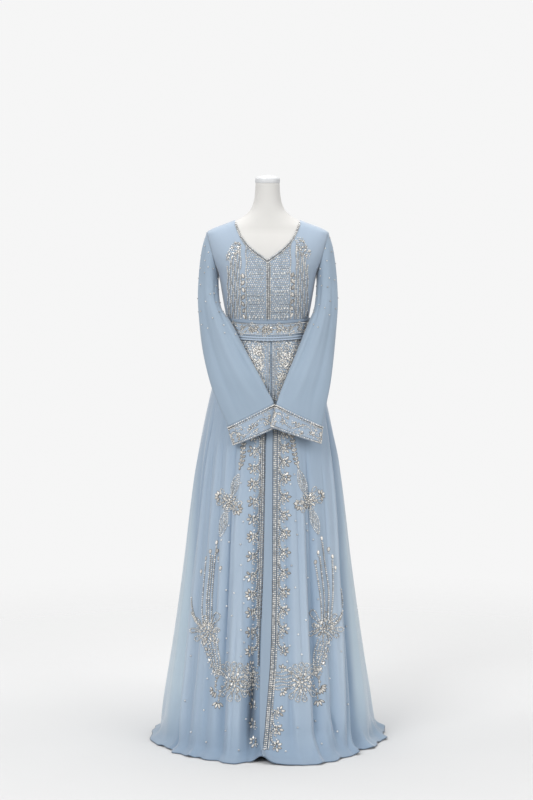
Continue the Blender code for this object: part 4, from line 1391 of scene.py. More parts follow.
def make_bodice(beaded, plain):
    points, out, rise = bodice_panel(1, FRONT_NECK, behind=False)
    shape = points.shape[:2]
    made = {}
    for word, sense in (("right", 1.0), ("left", -1.0)):
        inner, facing = points * (sense, 1.0, 1.0), out * (sense, 1.0, 1.0)
        quads = grid_quads(*shape, flip=sense < 0)
        wall = cloth_wall("bodice_" + word, inner, inner + facing * WALL, quads, beaded, rise)
        made["bodice_front_" + word] = wall

    points, out, rise = bodice_panel(2, BACK_NECK, behind=True)
    both = np.concatenate([points, points * (-1.0, 1.0, 1.0)])
    facing = np.concatenate([out, out * (-1.0, 1.0, 1.0)])
    lengths = cloth_lengths(points)
    lengths = np.concatenate([lengths, lengths * (1.0, -1.0)])
    mirrored = grid_quads(*shape, first=shape[0] * shape[1])
    quads = np.concatenate([grid_quads(*shape, flip=True), mirrored])
    rise = np.concatenate([rise, rise])
    outer = both + facing * WALL
    made["bodice_back"] = cloth_wall("bodice_rear", both, outer, quads, plain, rise, lengths)
    return made


# The skirt


def fold_lines(folds, height):
    """Azimuth and height of each fold line where the skirt is at this height."""
    fallen = 1.0 - height / WAIST_Z
    azimuths = np.array([top + (hem - top) * fallen for top, hem, _, _ in folds])
    grown = np.array([ease_in((start - height) / (start - FULL_FOLD_Z)) for *_, start in folds])
    return azimuths, np.array([rise for _, _, rise, _ in folds]) * grown


def fold_height(folds, azimuth, height):
    """How far the folds raise the cloth at an azimuth, easing from one fold line to the next."""
    azimuths, rises = fold_lines(folds, height)
    step = np.clip(np.searchsorted(azimuths, azimuth) - 1, 0, len(azimuths) - 2)
    u = ease_in((azimuth - azimuths[step]) / (azimuths[step + 1] - azimuths[step]))
    return rises[step] + (rises[step + 1] - rises[step]) * u


def lap_lift(x, edge_x):
    """How far the lapped front stands off, full over the underlap and none further round."""
    return LAP_LIFT * (1.0 - ease_in((x - edge_x - UNDERLAP_X) / (LAP_FADE_X - UNDERLAP_X)))


def hem_ripple(azimuth, height):
    """How far the hem's ripples reach out, and how far they lift it off the floor."""
    near_floor = ease_in((RIPPLE_TOP_Z - height) / RIPPLE_TOP_Z)
    reach, lift = np.zeros_like(azimuth), np.zeros_like(azimuth)
    for centre, out, up, width in HEM_RIPPLES:
        here = soft_line(apart(azimuth, centre), width) * near_floor
        reach += out * here
        lift += up * here
    return reach, lift


def skirt_line(folds, azimuths, section, lapped=False):
    """The points of one row of the skirt at these azimuths, and how far its folds raise them."""
    height, half_width, front, back, squareness, edge_x, _ = section
    x, y = oval(half_width, front, back, squareness, azimuths)
    lift = lap_lift(x, edge_x) if lapped else np.zeros_like(x)
    heights = np.full_like(azimuths, height)
    creased = crease_rise(CREASES, azimuths, heights, CREASE_FADE_Z)
    off_floor = ease_in(height / SETTLING_Z)
    folded, settled = (least + (1.0 - least) * off_floor for least in (HEM_FOLDED, HEM_CREASED))
    rise = fold_height(folds, azimuths, height) * folded + creased * settled
    if not lapped:
        rise = rise + crease_rise(UNDERLAP_CREASES, azimuths, heights, CREASE_FADE_Z)
    ripple, raised = hem_ripple(azimuths, height)
    reach = 1.0 + (rise + lift + ripple) / np.hypot(x, y)
    lying = ease_in((HEM_TURN_Z - height) / HEM_TURN_Z)
    z = height + lift * lying + raised
    return np.stack([x * reach, y * reach, z], axis=1), rise


def divided(azimuths, steps):
    """The azimuths with each interval between them cut into equal steps."""
    places = np.arange((len(azimuths) - 1) * steps + 1) / steps
    return np.interp(places, np.arange(len(azimuths)), azimuths)


def front_azimuths(section, side):
    """Azimuths of one row of a front, from the side seam to its middle edge or back."""
    height, half_width, _, _, squareness, edge_x, _ = section
    lines, _ = fold_lines(FRONT_FOLDS, height)
    if side < 0:
        middle = azimuth_at(UNDERLAP_X, half_width, squareness)
        return divided(np.append(lines[lines < 0], middle), STEPS_PER_FOLD)
    middle = azimuth_at(edge_x, half_width, squareness)
    placket_end = azimuth_at(edge_x + section[6], half_width, squareness)
    return divided(np.concatenate([[middle, placket_end], lines[lines > 0]]), STEPS_PER_FOLD)


def skirt_panel(folds, azimuth_rows, sections, lapped=False):
    """Points, outward vectors and fold heights of a skirt panel, from the waist to the hem."""
    lines = [skirt_line(folds, a, s, lapped) for a, s in zip(azimuth_rows, sections)]
    points = np.array([line[0] for line in lines])
    rises = np.array([line[1] for line in lines])
    out = outward_vectors(points, flip=True)
    out[0] = flattened(out[0], 2)
    points[0, :, 2] -= SEAM / 2
    return points, out, rises


def make_skirt(plain, placket_plain, hem_cloth):
    sections = along(SKIRT, row_numbers(0, len(SKIRT) - 1, STEPS_PER_SKIRT_ROW))
    back_rows = [divided(fold_lines(BACK_FOLDS, s[0])[0], STEPS_PER_BACK_FOLD) for s in sections]
    left_rows = [front_azimuths(section, -1) for section in sections]
    right_rows = [front_azimuths(section, 1) for section in sections]
    panels = {
        "skirt_back": skirt_panel(BACK_FOLDS, back_rows, sections),
        "skirt_front_left": skirt_panel(FRONT_FOLDS, left_rows, sections),
        "skirt_front_right": skirt_panel(FRONT_FOLDS, right_rows, sections, lapped=True),
    }
    seams = (("skirt_front_right", -1, "skirt_back", 0), ("skirt_front_left", 0, "skirt_back", -1))
    for front, front_column, back, back_column in seams:
        shared = panels[front][1][:, front_column] + panels[back][1][:, back_column]
        shared = flattened(shared, 1)
        panels[front][1][:, front_column] = shared
        panels[back][1][:, back_column] = shared
        panels[front][0][:, front_column, 1] -= SEAM / 2
        panels[back][0][:, back_column, 1] += SEAM / 2
    made = {}
    hems = {}
    for node, (points, out, rises) in panels.items():
        quads = grid_quads(len(points), points.shape[1], flip=True)
        outer = points + out * WALL
        made[node] = cloth_wall(node + "_cloth", points, outer, quads, plain, rises)
        hems[node] = hem_roll(node + "_hem", points[-1] + out[-1] * WALL / 2, hem_cloth)
    made["placket"] = make_placket(*panels["skirt_front_right"], placket_plain)
    return made, hems


def make_placket(points, out, rises, plain):
    """The strip on the lapped edge, made from the outer points of the right front."""
    rows = slice(PLACKET_FIRST_ROW * STEPS_PER_SKIRT_ROW, None)
    columns = slice(0, STEPS_PER_FOLD + 1)
    under = (points + out * (WALL + SEAM))[rows, columns]
    over = under + out[rows, columns] * WALL
    quads = grid_quads(under.shape[0], under.shape[1], flip=True)
    return cloth_wall("placket_cloth", under, over, quads, plain, rises[rows, columns])


def tube(points, radius, sides=8):
    """Points and faces of a round tube along a line, with flat ends."""
    run = unit(np.gradient(points, axis=0))
    across = unit(np.cross(run, np.array([0.0, 0.0, 1.0])))
    up = np.cross(across, run)
    turn = full_turn(sides)
    ring = across[:, None] * np.cos(turn)[:, None] + up[:, None] * np.sin(turn)[:, None]
    skin = points[:, None] + ring * radius
    return skin.reshape(-1, 3), tube_faces(len(points), sides)


def hem_roll(name, line, hem_cloth):
    """The narrow rolled hem along the lower edge of a skirt panel."""
    line = line.copy()
    line[:, 2] = np.maximum(line[:, 2], HEM_ROLL_RADIUS)
    points, faces = tube(line, HEM_ROLL_RADIUS)
    return new_object(name, points, faces, [hem_cloth])


# The belt


def cloth_section(height):
    """Half width, front, back and squareness of the gown's inner side behind the belt."""
    rising = SKIRT[::-1]
    skirt = [np.interp(height, column_of(rising, 0), column_of(rising, c)) for c in range(1, 5)]
    bodice = eased_section(np.maximum(height, WAIST_Z))
    return [np.where(height < WAIST_Z, low, high) for low, high in zip(skirt, bodice)]


def make_belt(beaded):
    azimuths = azimuths_round(BELT_COLUMNS)
    from_front = np.where(azimuths > 180.0, azimuths - 360.0, azimuths)
    dips = BELT_DIP * soft_line(from_front, BELT_DIP_AZIMUTH)
    steps = row_numbers(0, len(BELT_SECTION) - 1, BELT_STEPS_PER_PART)
    part, thickness = along(BELT_SECTION, steps).T
    height = BELT_BOTTOM_Z + BELT_HEIGHT * part[:, None] - dips
    azimuth = np.broadcast_to(azimuths, height.shape)
    x, y = oval(*cloth_section(height), azimuth)
    over_lap = ease_in((x + UNDERLAP_X + LAP_RUN) / LAP_RUN) * (y < 0)
    lift = lap_lift(x, SKIRT[0][5]) * over_lap
    reach = 1.0 + (WALL + BELT_CLEARANCE + lift) / np.hypot(x, y)
    points = np.stack([x * reach, y * reach, height], axis=-1)
    out = flattened(outward_vectors(points, closed=True), 2)
    beside = soft_line(np.abs(from_front) - SIDE_SEAM, GATHER_WIDTH)
    pleats = GATHER_RISE * beside * np.cos(np.radians(azimuths * GATHERS))
    plain_strip = ease_in((part - GATHER_FROM) / (1.0 - GATHER_FROM))
    thick = thickness[:, None] + pleats * plain_strip[:, None]
    quads = grid_quads(len(steps), BELT_COLUMNS, closed=True)
    # Painted light on the thicker cords and painted shade in the grooves, through the rise
    rise = (thick - BELT_MEAN_WALL) * BELT_PAINTED_SHADE
    outer = points + out * thick[..., None]
    return {"belt": cloth_wall("belt_cloth", points, outer, quads, beaded, rise)}


# The sleeves


def armhole_ring(side, turns):
    """The armhole's edge, from the shoulder tip round the front to the armpit and back."""
    middle = (SHOULDER_TIP_Z + ARMPIT_Z) / 2
    half = (SHOULDER_TIP_Z - ARMPIT_Z) / 2
    height = middle + half * np.cos(turns)
    azimuth = armhole_azimuth(height)
    azimuth = np.where(np.sin(turns) < 0, 180.0 - azimuth, azimuth)
    return bodice_points(azimuth, height) * np.array([side, 1.0, 1.0])


def sleeve_stations(side, table):
    """The table with a first row at the armhole, from the shoulder tip to the armpit."""
    tip = eased_section(SHOULDER_TIP_Z)[0]
    armpit = eased_section(ARMPIT_Z)[0]
    top = (side * tip, 0.0, SHOULDER_TIP_Z, side * armpit, 0.0, ARMPIT_Z, ARMHOLE_HALF_THICKNESS)
    return (top, *table)


def sleeve_rings(stations, rows, turns):
    """The flattened tube's sections at row numbers, which may lie between two rows."""
    station = along(stations, rows)
    outer, inner, half_thickness = station[:, 0:3], station[:, 3:6], station[:, 6:7]
    centre = (outer + inner) / 2
    half_width = (outer - inner) / 2
    across = unit(half_width)
    front = np.array([0.0, -1.0, 0.0]) + across[:, 1:2] * across
    front *= half_thickness / np.linalg.norm(front, axis=1, keepdims=True)
    cosine, sine = np.cos(turns)[:, None], np.sin(turns)[:, None]
    return centre[:, None] + cosine * half_width[:, None] + sine * front[:, None]


def sleeve_crease(rows, turns):
    """How far the creases raise the sleeve at rows and turns."""
    rise = np.zeros((len(rows), len(turns)))
    for top, foot, first, last, crease, width in SLEEVE_CREASES:
        u = (rows - first) / (last - first)
        shown = ease_in(u / SLEEVE_FADE) * ease_in((1.0 - u) / SLEEVE_FADE)
        centre = top + (foot - top) * np.clip(u, 0.0, 1.0)
        away = apart(np.degrees(turns)[None], centre[:, None])
        rise += crease * soft_line(away, width) * shown[:, None]
    return rise


def make_sleeve(word, side, table, plain, beaded):
    turns = full_turn(SLEEVE_COLUMNS)
    flip = side < 0
    stations = sleeve_stations(side, table)
    upper = row_numbers(0, CUFF_SEAM_ROW, SLEEVE_STEPS_PER_ROW)
    rows = np.append(upper, row_numbers(CUFF_SEAM_ROW, CUFF_END_ROW, CUFF_STEPS)[1:])
    at_armhole = 1.0 - ease_in(rows)
    shift = armhole_ring(side, turns) - sleeve_rings(stations, np.array([0.0]), turns)[0]
    points = sleeve_rings(stations, rows, turns) + at_armhole[:, None, None] * shift
    rise = sleeve_crease(rows, turns)
    points += outward_vectors(points, closed=True, flip=flip) * rise[..., None]
    out = outward_vectors(points, closed=True, flip=flip)

    # The armhole end stands off the bodice by the slant of both walls and the seam's gap.
    run = points[0, 0] - points[0, SLEEVE_COLUMNS // 2]
    away = np.array([side * abs(run[2]), 0.0, -abs(run[0])]) / math.hypot(run[0], run[2])
    bodice_out = np.array([side * BODICE_FACES_SIDE, 0.0, 0.0])
    slant = WALL * (max(0.0, float(bodice_out @ away)) + np.maximum(0.0, -(out[0] @ away)))
    fading = np.clip(1.0 - rows / ARMHOLE_FADE_ROW, 0.0, 1.0)
    points += fading[:, None, None] * away * (SEAM + slant)[:, None]

    last = len(upper) - 1
    fall = unit(points[last + 1] - points[last])
    sleeve, cuff = points[: last + 1].copy(), points[last:].copy()
    sleeve[-1] -= fall * SEAM / 2
    cuff[0] += fall * SEAM / 2
    made = {}
    for name, inner, part, wall, material in (
        ("sleeve_" + word, sleeve, slice(0, last + 1), WALL, plain),
        ("cuff_" + word, cuff, slice(last, None), CUFF_WALL, beaded),
    ):
        quads = grid_quads(len(inner), SLEEVE_COLUMNS, closed=True, flip=flip)
        outer = inner + out[part] * wall
        made[name] = cloth_wall(name + "_cloth", inner, outer, quads, material, rise[part])
    return made


# The dress form


def turned(name, profile, columns, material):
    """A turned piece from a profile of radii and heights, run from its top to its bottom."""
    turn = full_turn(columns)
    radius, height = np.array(profile[1:-1]).T
    x, y = radius[:, None] * np.sin(turn), -radius[:, None] * np.cos(turn)
    points = np.stack([x, y, np.broadcast_to(height[:, None], x.shape)], axis=-1).reshape(-1, 3)
    ends = [(0.0, 0.0, profile[0][1]), (0.0, 0.0, profile[-1][1])]
    count = len(points)
    faces = grid_quads(len(radius), columns, closed=True, flip=True).tolist()
    low = count - columns
    for i in range(columns):
        after = (i + 1) % columns
        faces += [[count, i, after], [count + 1, low + after, low + i]]
    return new_object(name, np.concatenate([points, ends]), faces, [material])


def make_form(cover, cap_finish):
    rows = row_numbers(0, len(FIGURE) - 1, FORM_STEPS_PER_ROW)
    heights = np.interp(rows, np.arange(len(FIGURE)), column_of(FIGURE, 0))[:, None]
    sections = [smooth(FIGURE, column, heights) for column in range(1, 5)]
    x, y = oval(*sections, azimuths_round(FORM_COLUMNS)[None])
    points = np.stack([x, y, np.broadcast_to(heights, x.shape)], axis=-1).reshape(-1, 3)
    torso = new_object("torso_cover", points, tube_faces(len(rows), FORM_COLUMNS), [cover])
    profile = [(radius, NECK_TOP_Z + SEAM + height) for radius, height in CAP_PROFILE]
    cap = turned("neck_cap", profile, FORM_COLUMNS, cap_finish)
    return {"form_torso": torso, "form_neck_cap": cap}


# Beads, each laid out flat first: its shape, place, direction, length, width, height and tone


SEED, PEARL, LEAF_STONE, OVAL_STONE, THREAD = range(5)

# Which finish each shape has: silver, pearl, leaf stone, crystal and dark thread, each with painted
# shade towards the cloth
FINISH_OF_SHAPE = (0, 1, 4, 2, 3)


def stacked(rings, sides):
    """Points and faces of stacked rings, each a radius and a height."""
    turn = full_turn(sides)
    circle = np.stack([np.cos(turn), np.sin(turn)], axis=1)
    points = [np.column_stack([circle * radius, np.full(sides, high)]) for radius, high in rings]
    return np.concatenate(points), tube_faces(len(rings), sides)


def leaf_shape():
    """Points and faces of a pointed leaf with a ridge, in its setting, whose broad low layer takes
    the painted shade of the finish as a dark rim.
    """
    outline = np.array([(0.5, 0.0), (0.2, 0.5), (-0.2, 0.5), (-0.5, 0.0), (-0.2, -0.5), (0.2, -0.5)])
    layers = [np.column_stack([outline * wide, np.full(6, high)]) for wide, high in LEAF_LAYERS]
    ridge = [(0.2, 0.0, 1.0), (-0.2, 0.0, 1.0)]
    faces = grid_quads(2, 6, closed=True).tolist() + [[5, 4, 3, 2, 1, 0]]
    faces += [[6, 7, 12], [7, 8, 13, 12], [8, 9, 13], [9, 10, 13], [10, 11, 12, 13], [11, 6, 12]]
    return np.concatenate([*layers, ridge]), faces


# Points and faces of each shape, one unit long, wide and high
BEAD_SHAPES = {
    SEED: stacked(SEED_RINGS, 6),
    PEARL: stacked(PEARL_RINGS, 8),
    LEAF_STONE: leaf_shape(),
    OVAL_STONE: stacked(OVAL_RINGS, 8),
    THREAD: stacked(SEED_RINGS, 6),
}


class Layout:
    """Beads laid out on a flat pattern, whose places are in metres across and up."""

    def __init__(self, seed):
        self.random = np.random.default_rng(seed)
        self.rows = []

    def loose(self, shape=None):
        """Random numbers from -0.5 to 0.5."""
        return self.random.random(shape) - 0.5

    def any_turn(self, count=None):
        return self.random.random(count) * math.pi

    def put(self, shape, places, turns, length, width, height):
        places = np.atleast_2d(np.asarray(places, float))
        count = len(places)
        tones = self.random.random(count)
        values = (shape, places[:, 0], places[:, 1], turns, length, width, height, tones)
        self.rows.append(np.stack([np.broadcast_to(v, count) for v in values], axis=1))

    def string(self, line, size=SEED_SIZE, pitch=None):
        """Seed beads threaded along a line."""
        places, turns = threaded(line, pitch or size * STRING_PITCH)
        uneven = size * (1.0 + STRING_UNEVEN * self.loose(len(places)))
        self.put(SEED, places, turns, uneven * 0.92, uneven, size * 0.75)

    def thread(self, line, size):
        """Dark thread laid along a line, in short stitches: partly dark stitching and partly painted
        shade between the beads.
        """
        places, turns = threaded(line, size * STITCH_PITCH)
        self.put(THREAD, places, turns, size * STITCH_LENGTH, size, size * 0.6)

    def pearls(self, places, size=PEARL_SIZE):
        self.put(PEARL, places, 0.0, size, size, size * 0.8)

    def leaf(self, place, turn, length, width, height=0.003):
        self.put(LEAF_STONE, place, turn, length, width, height)

    def stone(self, place, turn, length, width, height=0.0032):
        self.put(OVAL_STONE, place, turn, length, width, height)


def threaded(line, pitch):
    """Places at an even pitch along a line, and its direction at each, in radians."""
    line = np.asarray(line, float)
    run = np.append(0.0, np.cumsum(np.linalg.norm(np.diff(line, axis=0), axis=1)))
    count = max(int(round(run[-1] / pitch)), 1)
    at = (np.arange(count) + 0.5) * run[-1] / count
    before, after = at - pitch / 3, at + pitch / 3
    places = np.stack([np.interp(at, run, line[:, c]) for c in (0, 1)], axis=1)
    x, z = (np.interp(after, run, line[:, c]) - np.interp(before, run, line[:, c]) for c in (0, 1))
    return places, np.arctan2(z, x)


def heading(degrees):
    """A unit step in a direction, in degrees up from the right."""
    return np.array([math.cos(math.radians(degrees)), math.sin(math.radians(degrees))])


def off(base, turn, distance):
    """The place at a distance from a base, in a direction."""
    return np.asarray(base) + heading(turn) * distance


def arc(centre, radius, end):
    """Points of an arc about a centre, from the right round to an angle."""
    turn = np.radians(np.linspace(0.0, end, 25))
    return np.asarray(centre) + np.stack([radius * np.cos(turn), radius * np.sin(turn)], axis=1)


def disc(centre, radius):
    return arc(centre, radius, DISC_END)


def curve(points, steps=10):
    """A smooth line through points."""
    at = np.linspace(0, len(points) - 1, (len(points) - 1) * steps + 1)
    return along(points, at)


def curl(start, turn, size, side):
    """A line that leaves a point in a direction and rolls up to one side, like a fern."""
    u = np.linspace(0.0, 1.0, 30)
    bend = np.radians(turn + side * CURL_TURN * u**1.3)
    step = size * (1.0 - 0.72 * u)
    path = np.cumsum(np.stack([np.cos(bend) * step, np.sin(bend) * step], axis=1), axis=0) / 9.0
    return np.asarray(start) + path


def petal(layout, base, turn, length, width, size=SEED_SIZE):
    """A loop of beads from a base outwards."""
    u = np.linspace(0.0, 1.0, 30)
    across = np.sin(2 * math.pi * u) * (0.35 + 0.65 * np.sin(math.pi * u)) * width / 2
    out = np.sin(math.pi * u) * length
    line = np.asarray(base) + np.outer(out, heading(turn)) + np.outer(across, heading(turn + 90.0))
    layout.string(line, size)


def fan(layout, base, turn, leaves=5, spread=150.0, length=0.0145, reach=0.0042, broad=0.0072):
    """A cluster of leaf stones that open like a fan from a base."""
    for i in range(leaves):
        from_middle = i - (leaves - 1) / 2
        away = turn + from_middle * spread / (leaves - 1)
        size = length * (1.0 - 0.14 * abs(from_middle) / leaves)
        place = off(base, away, reach + size / 2)
        layout.leaf(place, math.radians(away), size, min(size * 0.5, broad))
    layout.stone(off(base, turn, -0.001), math.radians(turn), *FAN_STONE)


def blossom(layout, centre, stones, radius, length, width, turn=0.0):
    """A ring of leaf stones that point at its centre."""
    for i in range(stones):
        away = turn + i * 360.0 / stones
        layout.leaf(off(centre, away, radius), math.radians(away), length, width)


def heart(layout, centre, rings, stone, reach, spacing):
    """The dense middle of a flower: rings of leaves round a stone, and beads strewn over them."""
    for ring in rings:
        blossom(layout, centre, *ring)
    layout.stone(centre, *stone)
    scatter(layout, disc(centre, reach), spacing, FILL_SIZE)


def filled_leaf(layout, base, tip, width):
    """A long pointed leaf, edged with pearls and filled with seed beads."""
    size = FILL_SIZE
    base, span = np.asarray(base), np.subtract(tip, base)
    length = np.linalg.norm(span)
    ahead = span / length
    side = np.array([-ahead[1], ahead[0]])
    u = np.linspace(0.0, 1.0, 24)
    half = width / 2 * np.sin(math.pi * u) ** LEAF_POINT
    for sign in (-1.0, 1.0):
        edge = base + np.outer(u * length, ahead) + np.outer(sign * half, side)
        layout.pearls(threaded(edge, LEAF_EDGE[0])[0], LEAF_EDGE[1])
    rows = int(length / (size * LEAF_ROW_PITCH))
    for i in range(1, rows):
        part = i / rows
        reach = width / 2 * math.sin(math.pi * part) ** LEAF_POINT - SEED_SIZE
        beads = int(2 * reach / (size * LEAF_BEAD_PITCH)) + 1
        if beads < 1:
            continue
        across = (np.arange(beads) - (beads - 1) / 2) * size * LEAF_BEAD_PITCH
        slant = np.abs(across) * LEAF_SLANT
        places = base + np.outer(part * length - slant, ahead) + np.outer(across, side)
        places += layout.loose(places.shape) * size * 0.25
        layout.put(PEARL if i % 2 else SEED, places, 0.0, size, size, size * 0.7)


def inside(places, outline):
    """The places that lie inside an outline."""
    ends = np.roll(outline, -1, axis=0)
    x, z = places[:, :1], places[:, 1:]
    spans = (outline[:, 1] > z) != (ends[:, 1] > z)
    rise = np.where(ends[:, 1] == outline[:, 1], 1e-9, ends[:, 1] - outline[:, 1])
    crossing = outline[:, 0] + (z - outline[:, 1]) * (ends[:, 0] - outline[:, 0]) / rise
    return places[(spans & (x < crossing)).sum(axis=1) % 2 == 1]


def strewn(layout, outline, spacing, looseness):
    """Places spread evenly but loosely inside an outline."""
    outline = np.asarray(outline)
    low, high = outline.min(axis=0), outline.max(axis=0)
    count = np.maximum(((high - low) / spacing).astype(int), 1)
    x, z = np.meshgrid(np.arange(count[0] + 1), np.arange(count[1] + 1))
    places = low + np.stack([x.ravel() + (z.ravel() % 2) * 0.5, z.ravel()], axis=1) * spacing
    return inside(places + layout.loose(places.shape) * spacing * looseness, outline)


def scatter(layout, outline, spacing, size):
    """Seed beads strewn inside an outline, whose places it gives back."""
    places = strewn(layout, outline, spacing, 0.55)
    layout.put(SEED, places, layout.any_turn(len(places)), size * 1.25, size, size * 0.8)
    return places


def leaves_strewn(layout, outline, spacing, bead, leaf, shift=(0.0, 0.0)):
    """Seed beads strewn inside an outline, each with a leaf stone on it or beside it."""
    for place in scatter(layout, outline, spacing, bead):
        layout.leaf(place + shift, layout.any_turn(), *leaf)


def curls(layout, outline, spacing, size, stones=0.25):
    """Small curled strings and stones that fill an outline densely."""
    for place in strewn(layout, outline, spacing, 0.5):
        turn = layout.random.random() * 360.0
        side = 1.0 if layout.random.random() < 0.5 else -1.0
        layout.string(curl(place, turn, size, side), SEED_SIZE * 0.95)
        if layout.random.random() < stones:
            layout.leaf(off(place, turn + 90.0, size * 0.3), math.radians(turn), *CURL_LEAF)


def lattice(layout, outline, across, up, size, shape=SEED):
    """Beads in even rows inside an outline."""
    outline = np.asarray(outline)
    low, high = outline.min(axis=0), outline.max(axis=0)
    x, z = np.meshgrid(np.arange(low[0], high[0], across), np.arange(low[1], high[1], up))
    x[1::2] += across / 2
    places = np.stack([x.ravel(), z.ravel()], axis=1)
    places = inside(places + layout.loose(places.shape) * across * 0.3, outline)
    layout.put(shape, places, 0.0, size, size, size * 0.8)


# Surfaces that the flat patterns are laid on


class SeenFrom:
    """Cloth as it is seen from straight in front or behind. A pattern's places are x and z."""

    def __init__(self, names, side=-1.0):
        points, quads, count = [], [], 0
        for name in names:
            skin, faces = SKINS[name]
            points.append(skin)
            quads.append(faces + count)
            count += len(skin)
        corners, faces = np.concatenate(points).tolist(), np.concatenate(quads).tolist()
        self.tree = BVHTree.FromPolygons(corners, faces)
        self.side = side

    def lay(self, places):
        found, normals, kept = [], [], []
        ahead = Vector((0.0, -self.side, 0.0))
        for i, (x, z) in enumerate(places):
            point, normal, _, _ = self.tree.ray_cast(Vector((x, self.side, z)), ahead)
            if point is None:
                continue
            found.append(point)
            normals.append(normal if normal.dot(ahead) < 0 else -normal)
            kept.append(i)
        first, second = (np.tile(axis, (len(kept), 1)) for axis in ([1.0, 0.0, 0.0], [0.0, 0.0, 1.0]))
        return np.array(found), np.array(normals), first, second, np.array(kept, int)


class Wrapped:
    """A closed band of cloth. A pattern's places are metres round it and metres up from its foot.

    The columns of its skin run round it, and its rows run up or down.
    """

    def __init__(self, name, rows, middle_column, sense, rows_rise=False):
        grid = SKINS[name][0].reshape(rows, -1, 3)
        self.grid = grid if rows_rise else grid[::-1]
        closed = np.concatenate([self.grid, self.grid[:, :1]], axis=1)
        self.round = np.linalg.norm(np.diff(closed, axis=1), axis=2).sum(axis=1).mean()
        # A belt's rows are measured upright, without the depth of its pleats.
        steps = np.diff(self.grid[..., 2:] if rows_rise else self.grid, axis=0)
        self.run = np.append(0.0, np.cumsum(np.linalg.norm(steps, axis=2).mean(axis=1)))
        self.high = self.run[-1]
        self.middle = middle_column
        self.sense = sense
        self.axis = self.grid.mean(axis=1)

    def lay(self, places):
        rows, columns = self.grid.shape[:2]
        kept = np.flatnonzero((places[:, 1] >= 0.0) & (places[:, 1] <= self.high))
        row = np.interp(places[kept, 1], self.run, np.arange(rows))
        column = self.middle + self.sense * places[kept, 0] / self.round * columns
        point = self.at(row, column)
        first = unit((self.at(row, column + 0.5) - self.at(row, column - 0.5)) * self.sense)
        above, below = np.minimum(row + 0.5, rows - 1), np.maximum(row - 0.5, 0)
        second = unit(self.at(above, column) - self.at(below, column))
        normal = unit(np.cross(first, second))
        middle = self.axis[np.clip(np.round(row).astype(int), 0, rows - 1)]
        inward = ((point - middle) * normal).sum(axis=1) < 0
        normal[inward] *= -1.0
        return point, normal, first, second, kept

    def at(self, row, column):
        rows, columns = self.grid.shape[:2]
        low = np.clip(np.floor(row).astype(int), 0, rows - 2)
        left = np.floor(column).astype(int)
        u, v = (row - low)[:, None], (column - left)[:, None]
        left, right = left % columns, (left + 1) % columns
        below = self.grid[low, left] * (1 - v) + self.grid[low, right] * v
        above = self.grid[low + 1, left] * (1 - v) + self.grid[low + 1, right] * v
        return below * (1 - u) + above * u


def bead_object(name, layout, surface, finishes):
    """One mesh of all the beads of a layout, laid on a surface."""
    table = np.concatenate(layout.rows)
    point, normal, first, second, kept = surface.lay(table[:, 1:3])
    table = table[kept]
    turn = table[:, 3:4]
    ahead = first * np.cos(turn) + second * np.sin(turn)
    ahead = unit(ahead - normal * (ahead * normal).sum(axis=1, keepdims=True))
    side = np.cross(normal, ahead)
    points, faces, lifts, tones, kinds, count = [], [], [], [], [], 0
    for shape, (model, model_faces) in BEAD_SHAPES.items():
        chosen = table[:, 0] == shape
        if not chosen.any():
            continue
        frames = np.stack([ahead[chosen], side[chosen], normal[chosen]], axis=1)
        scaled = model[None] * table[chosen, None, 4:7]
        placed = point[chosen, None] + scaled @ frames - normal[chosen, None] * BEAD_SINK
        beads = len(placed)
        first_point = count + np.arange(beads) * len(model)
        points.append(placed.reshape(-1, 3))
        for face in model_faces:
            faces += (first_point[:, None] + np.array(face)).tolist()
            kinds += [FINISH_OF_SHAPE[shape]] * beads
        lifts.append(np.tile(model[:, 2], beads))
        tones.append(np.repeat(table[chosen, 7], len(model)))
        count += beads * len(model)
    obj = new_object(name, np.concatenate(points), faces, finishes, smooth_faces=False)
    obj.data.polygons.foreach_set("material_index", kinds)
    set_attribute(obj.data, "lift", np.concatenate(lifts))
    set_attribute(obj.data, "tone", np.concatenate(tones))
    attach(obj, "root")


# The patterns


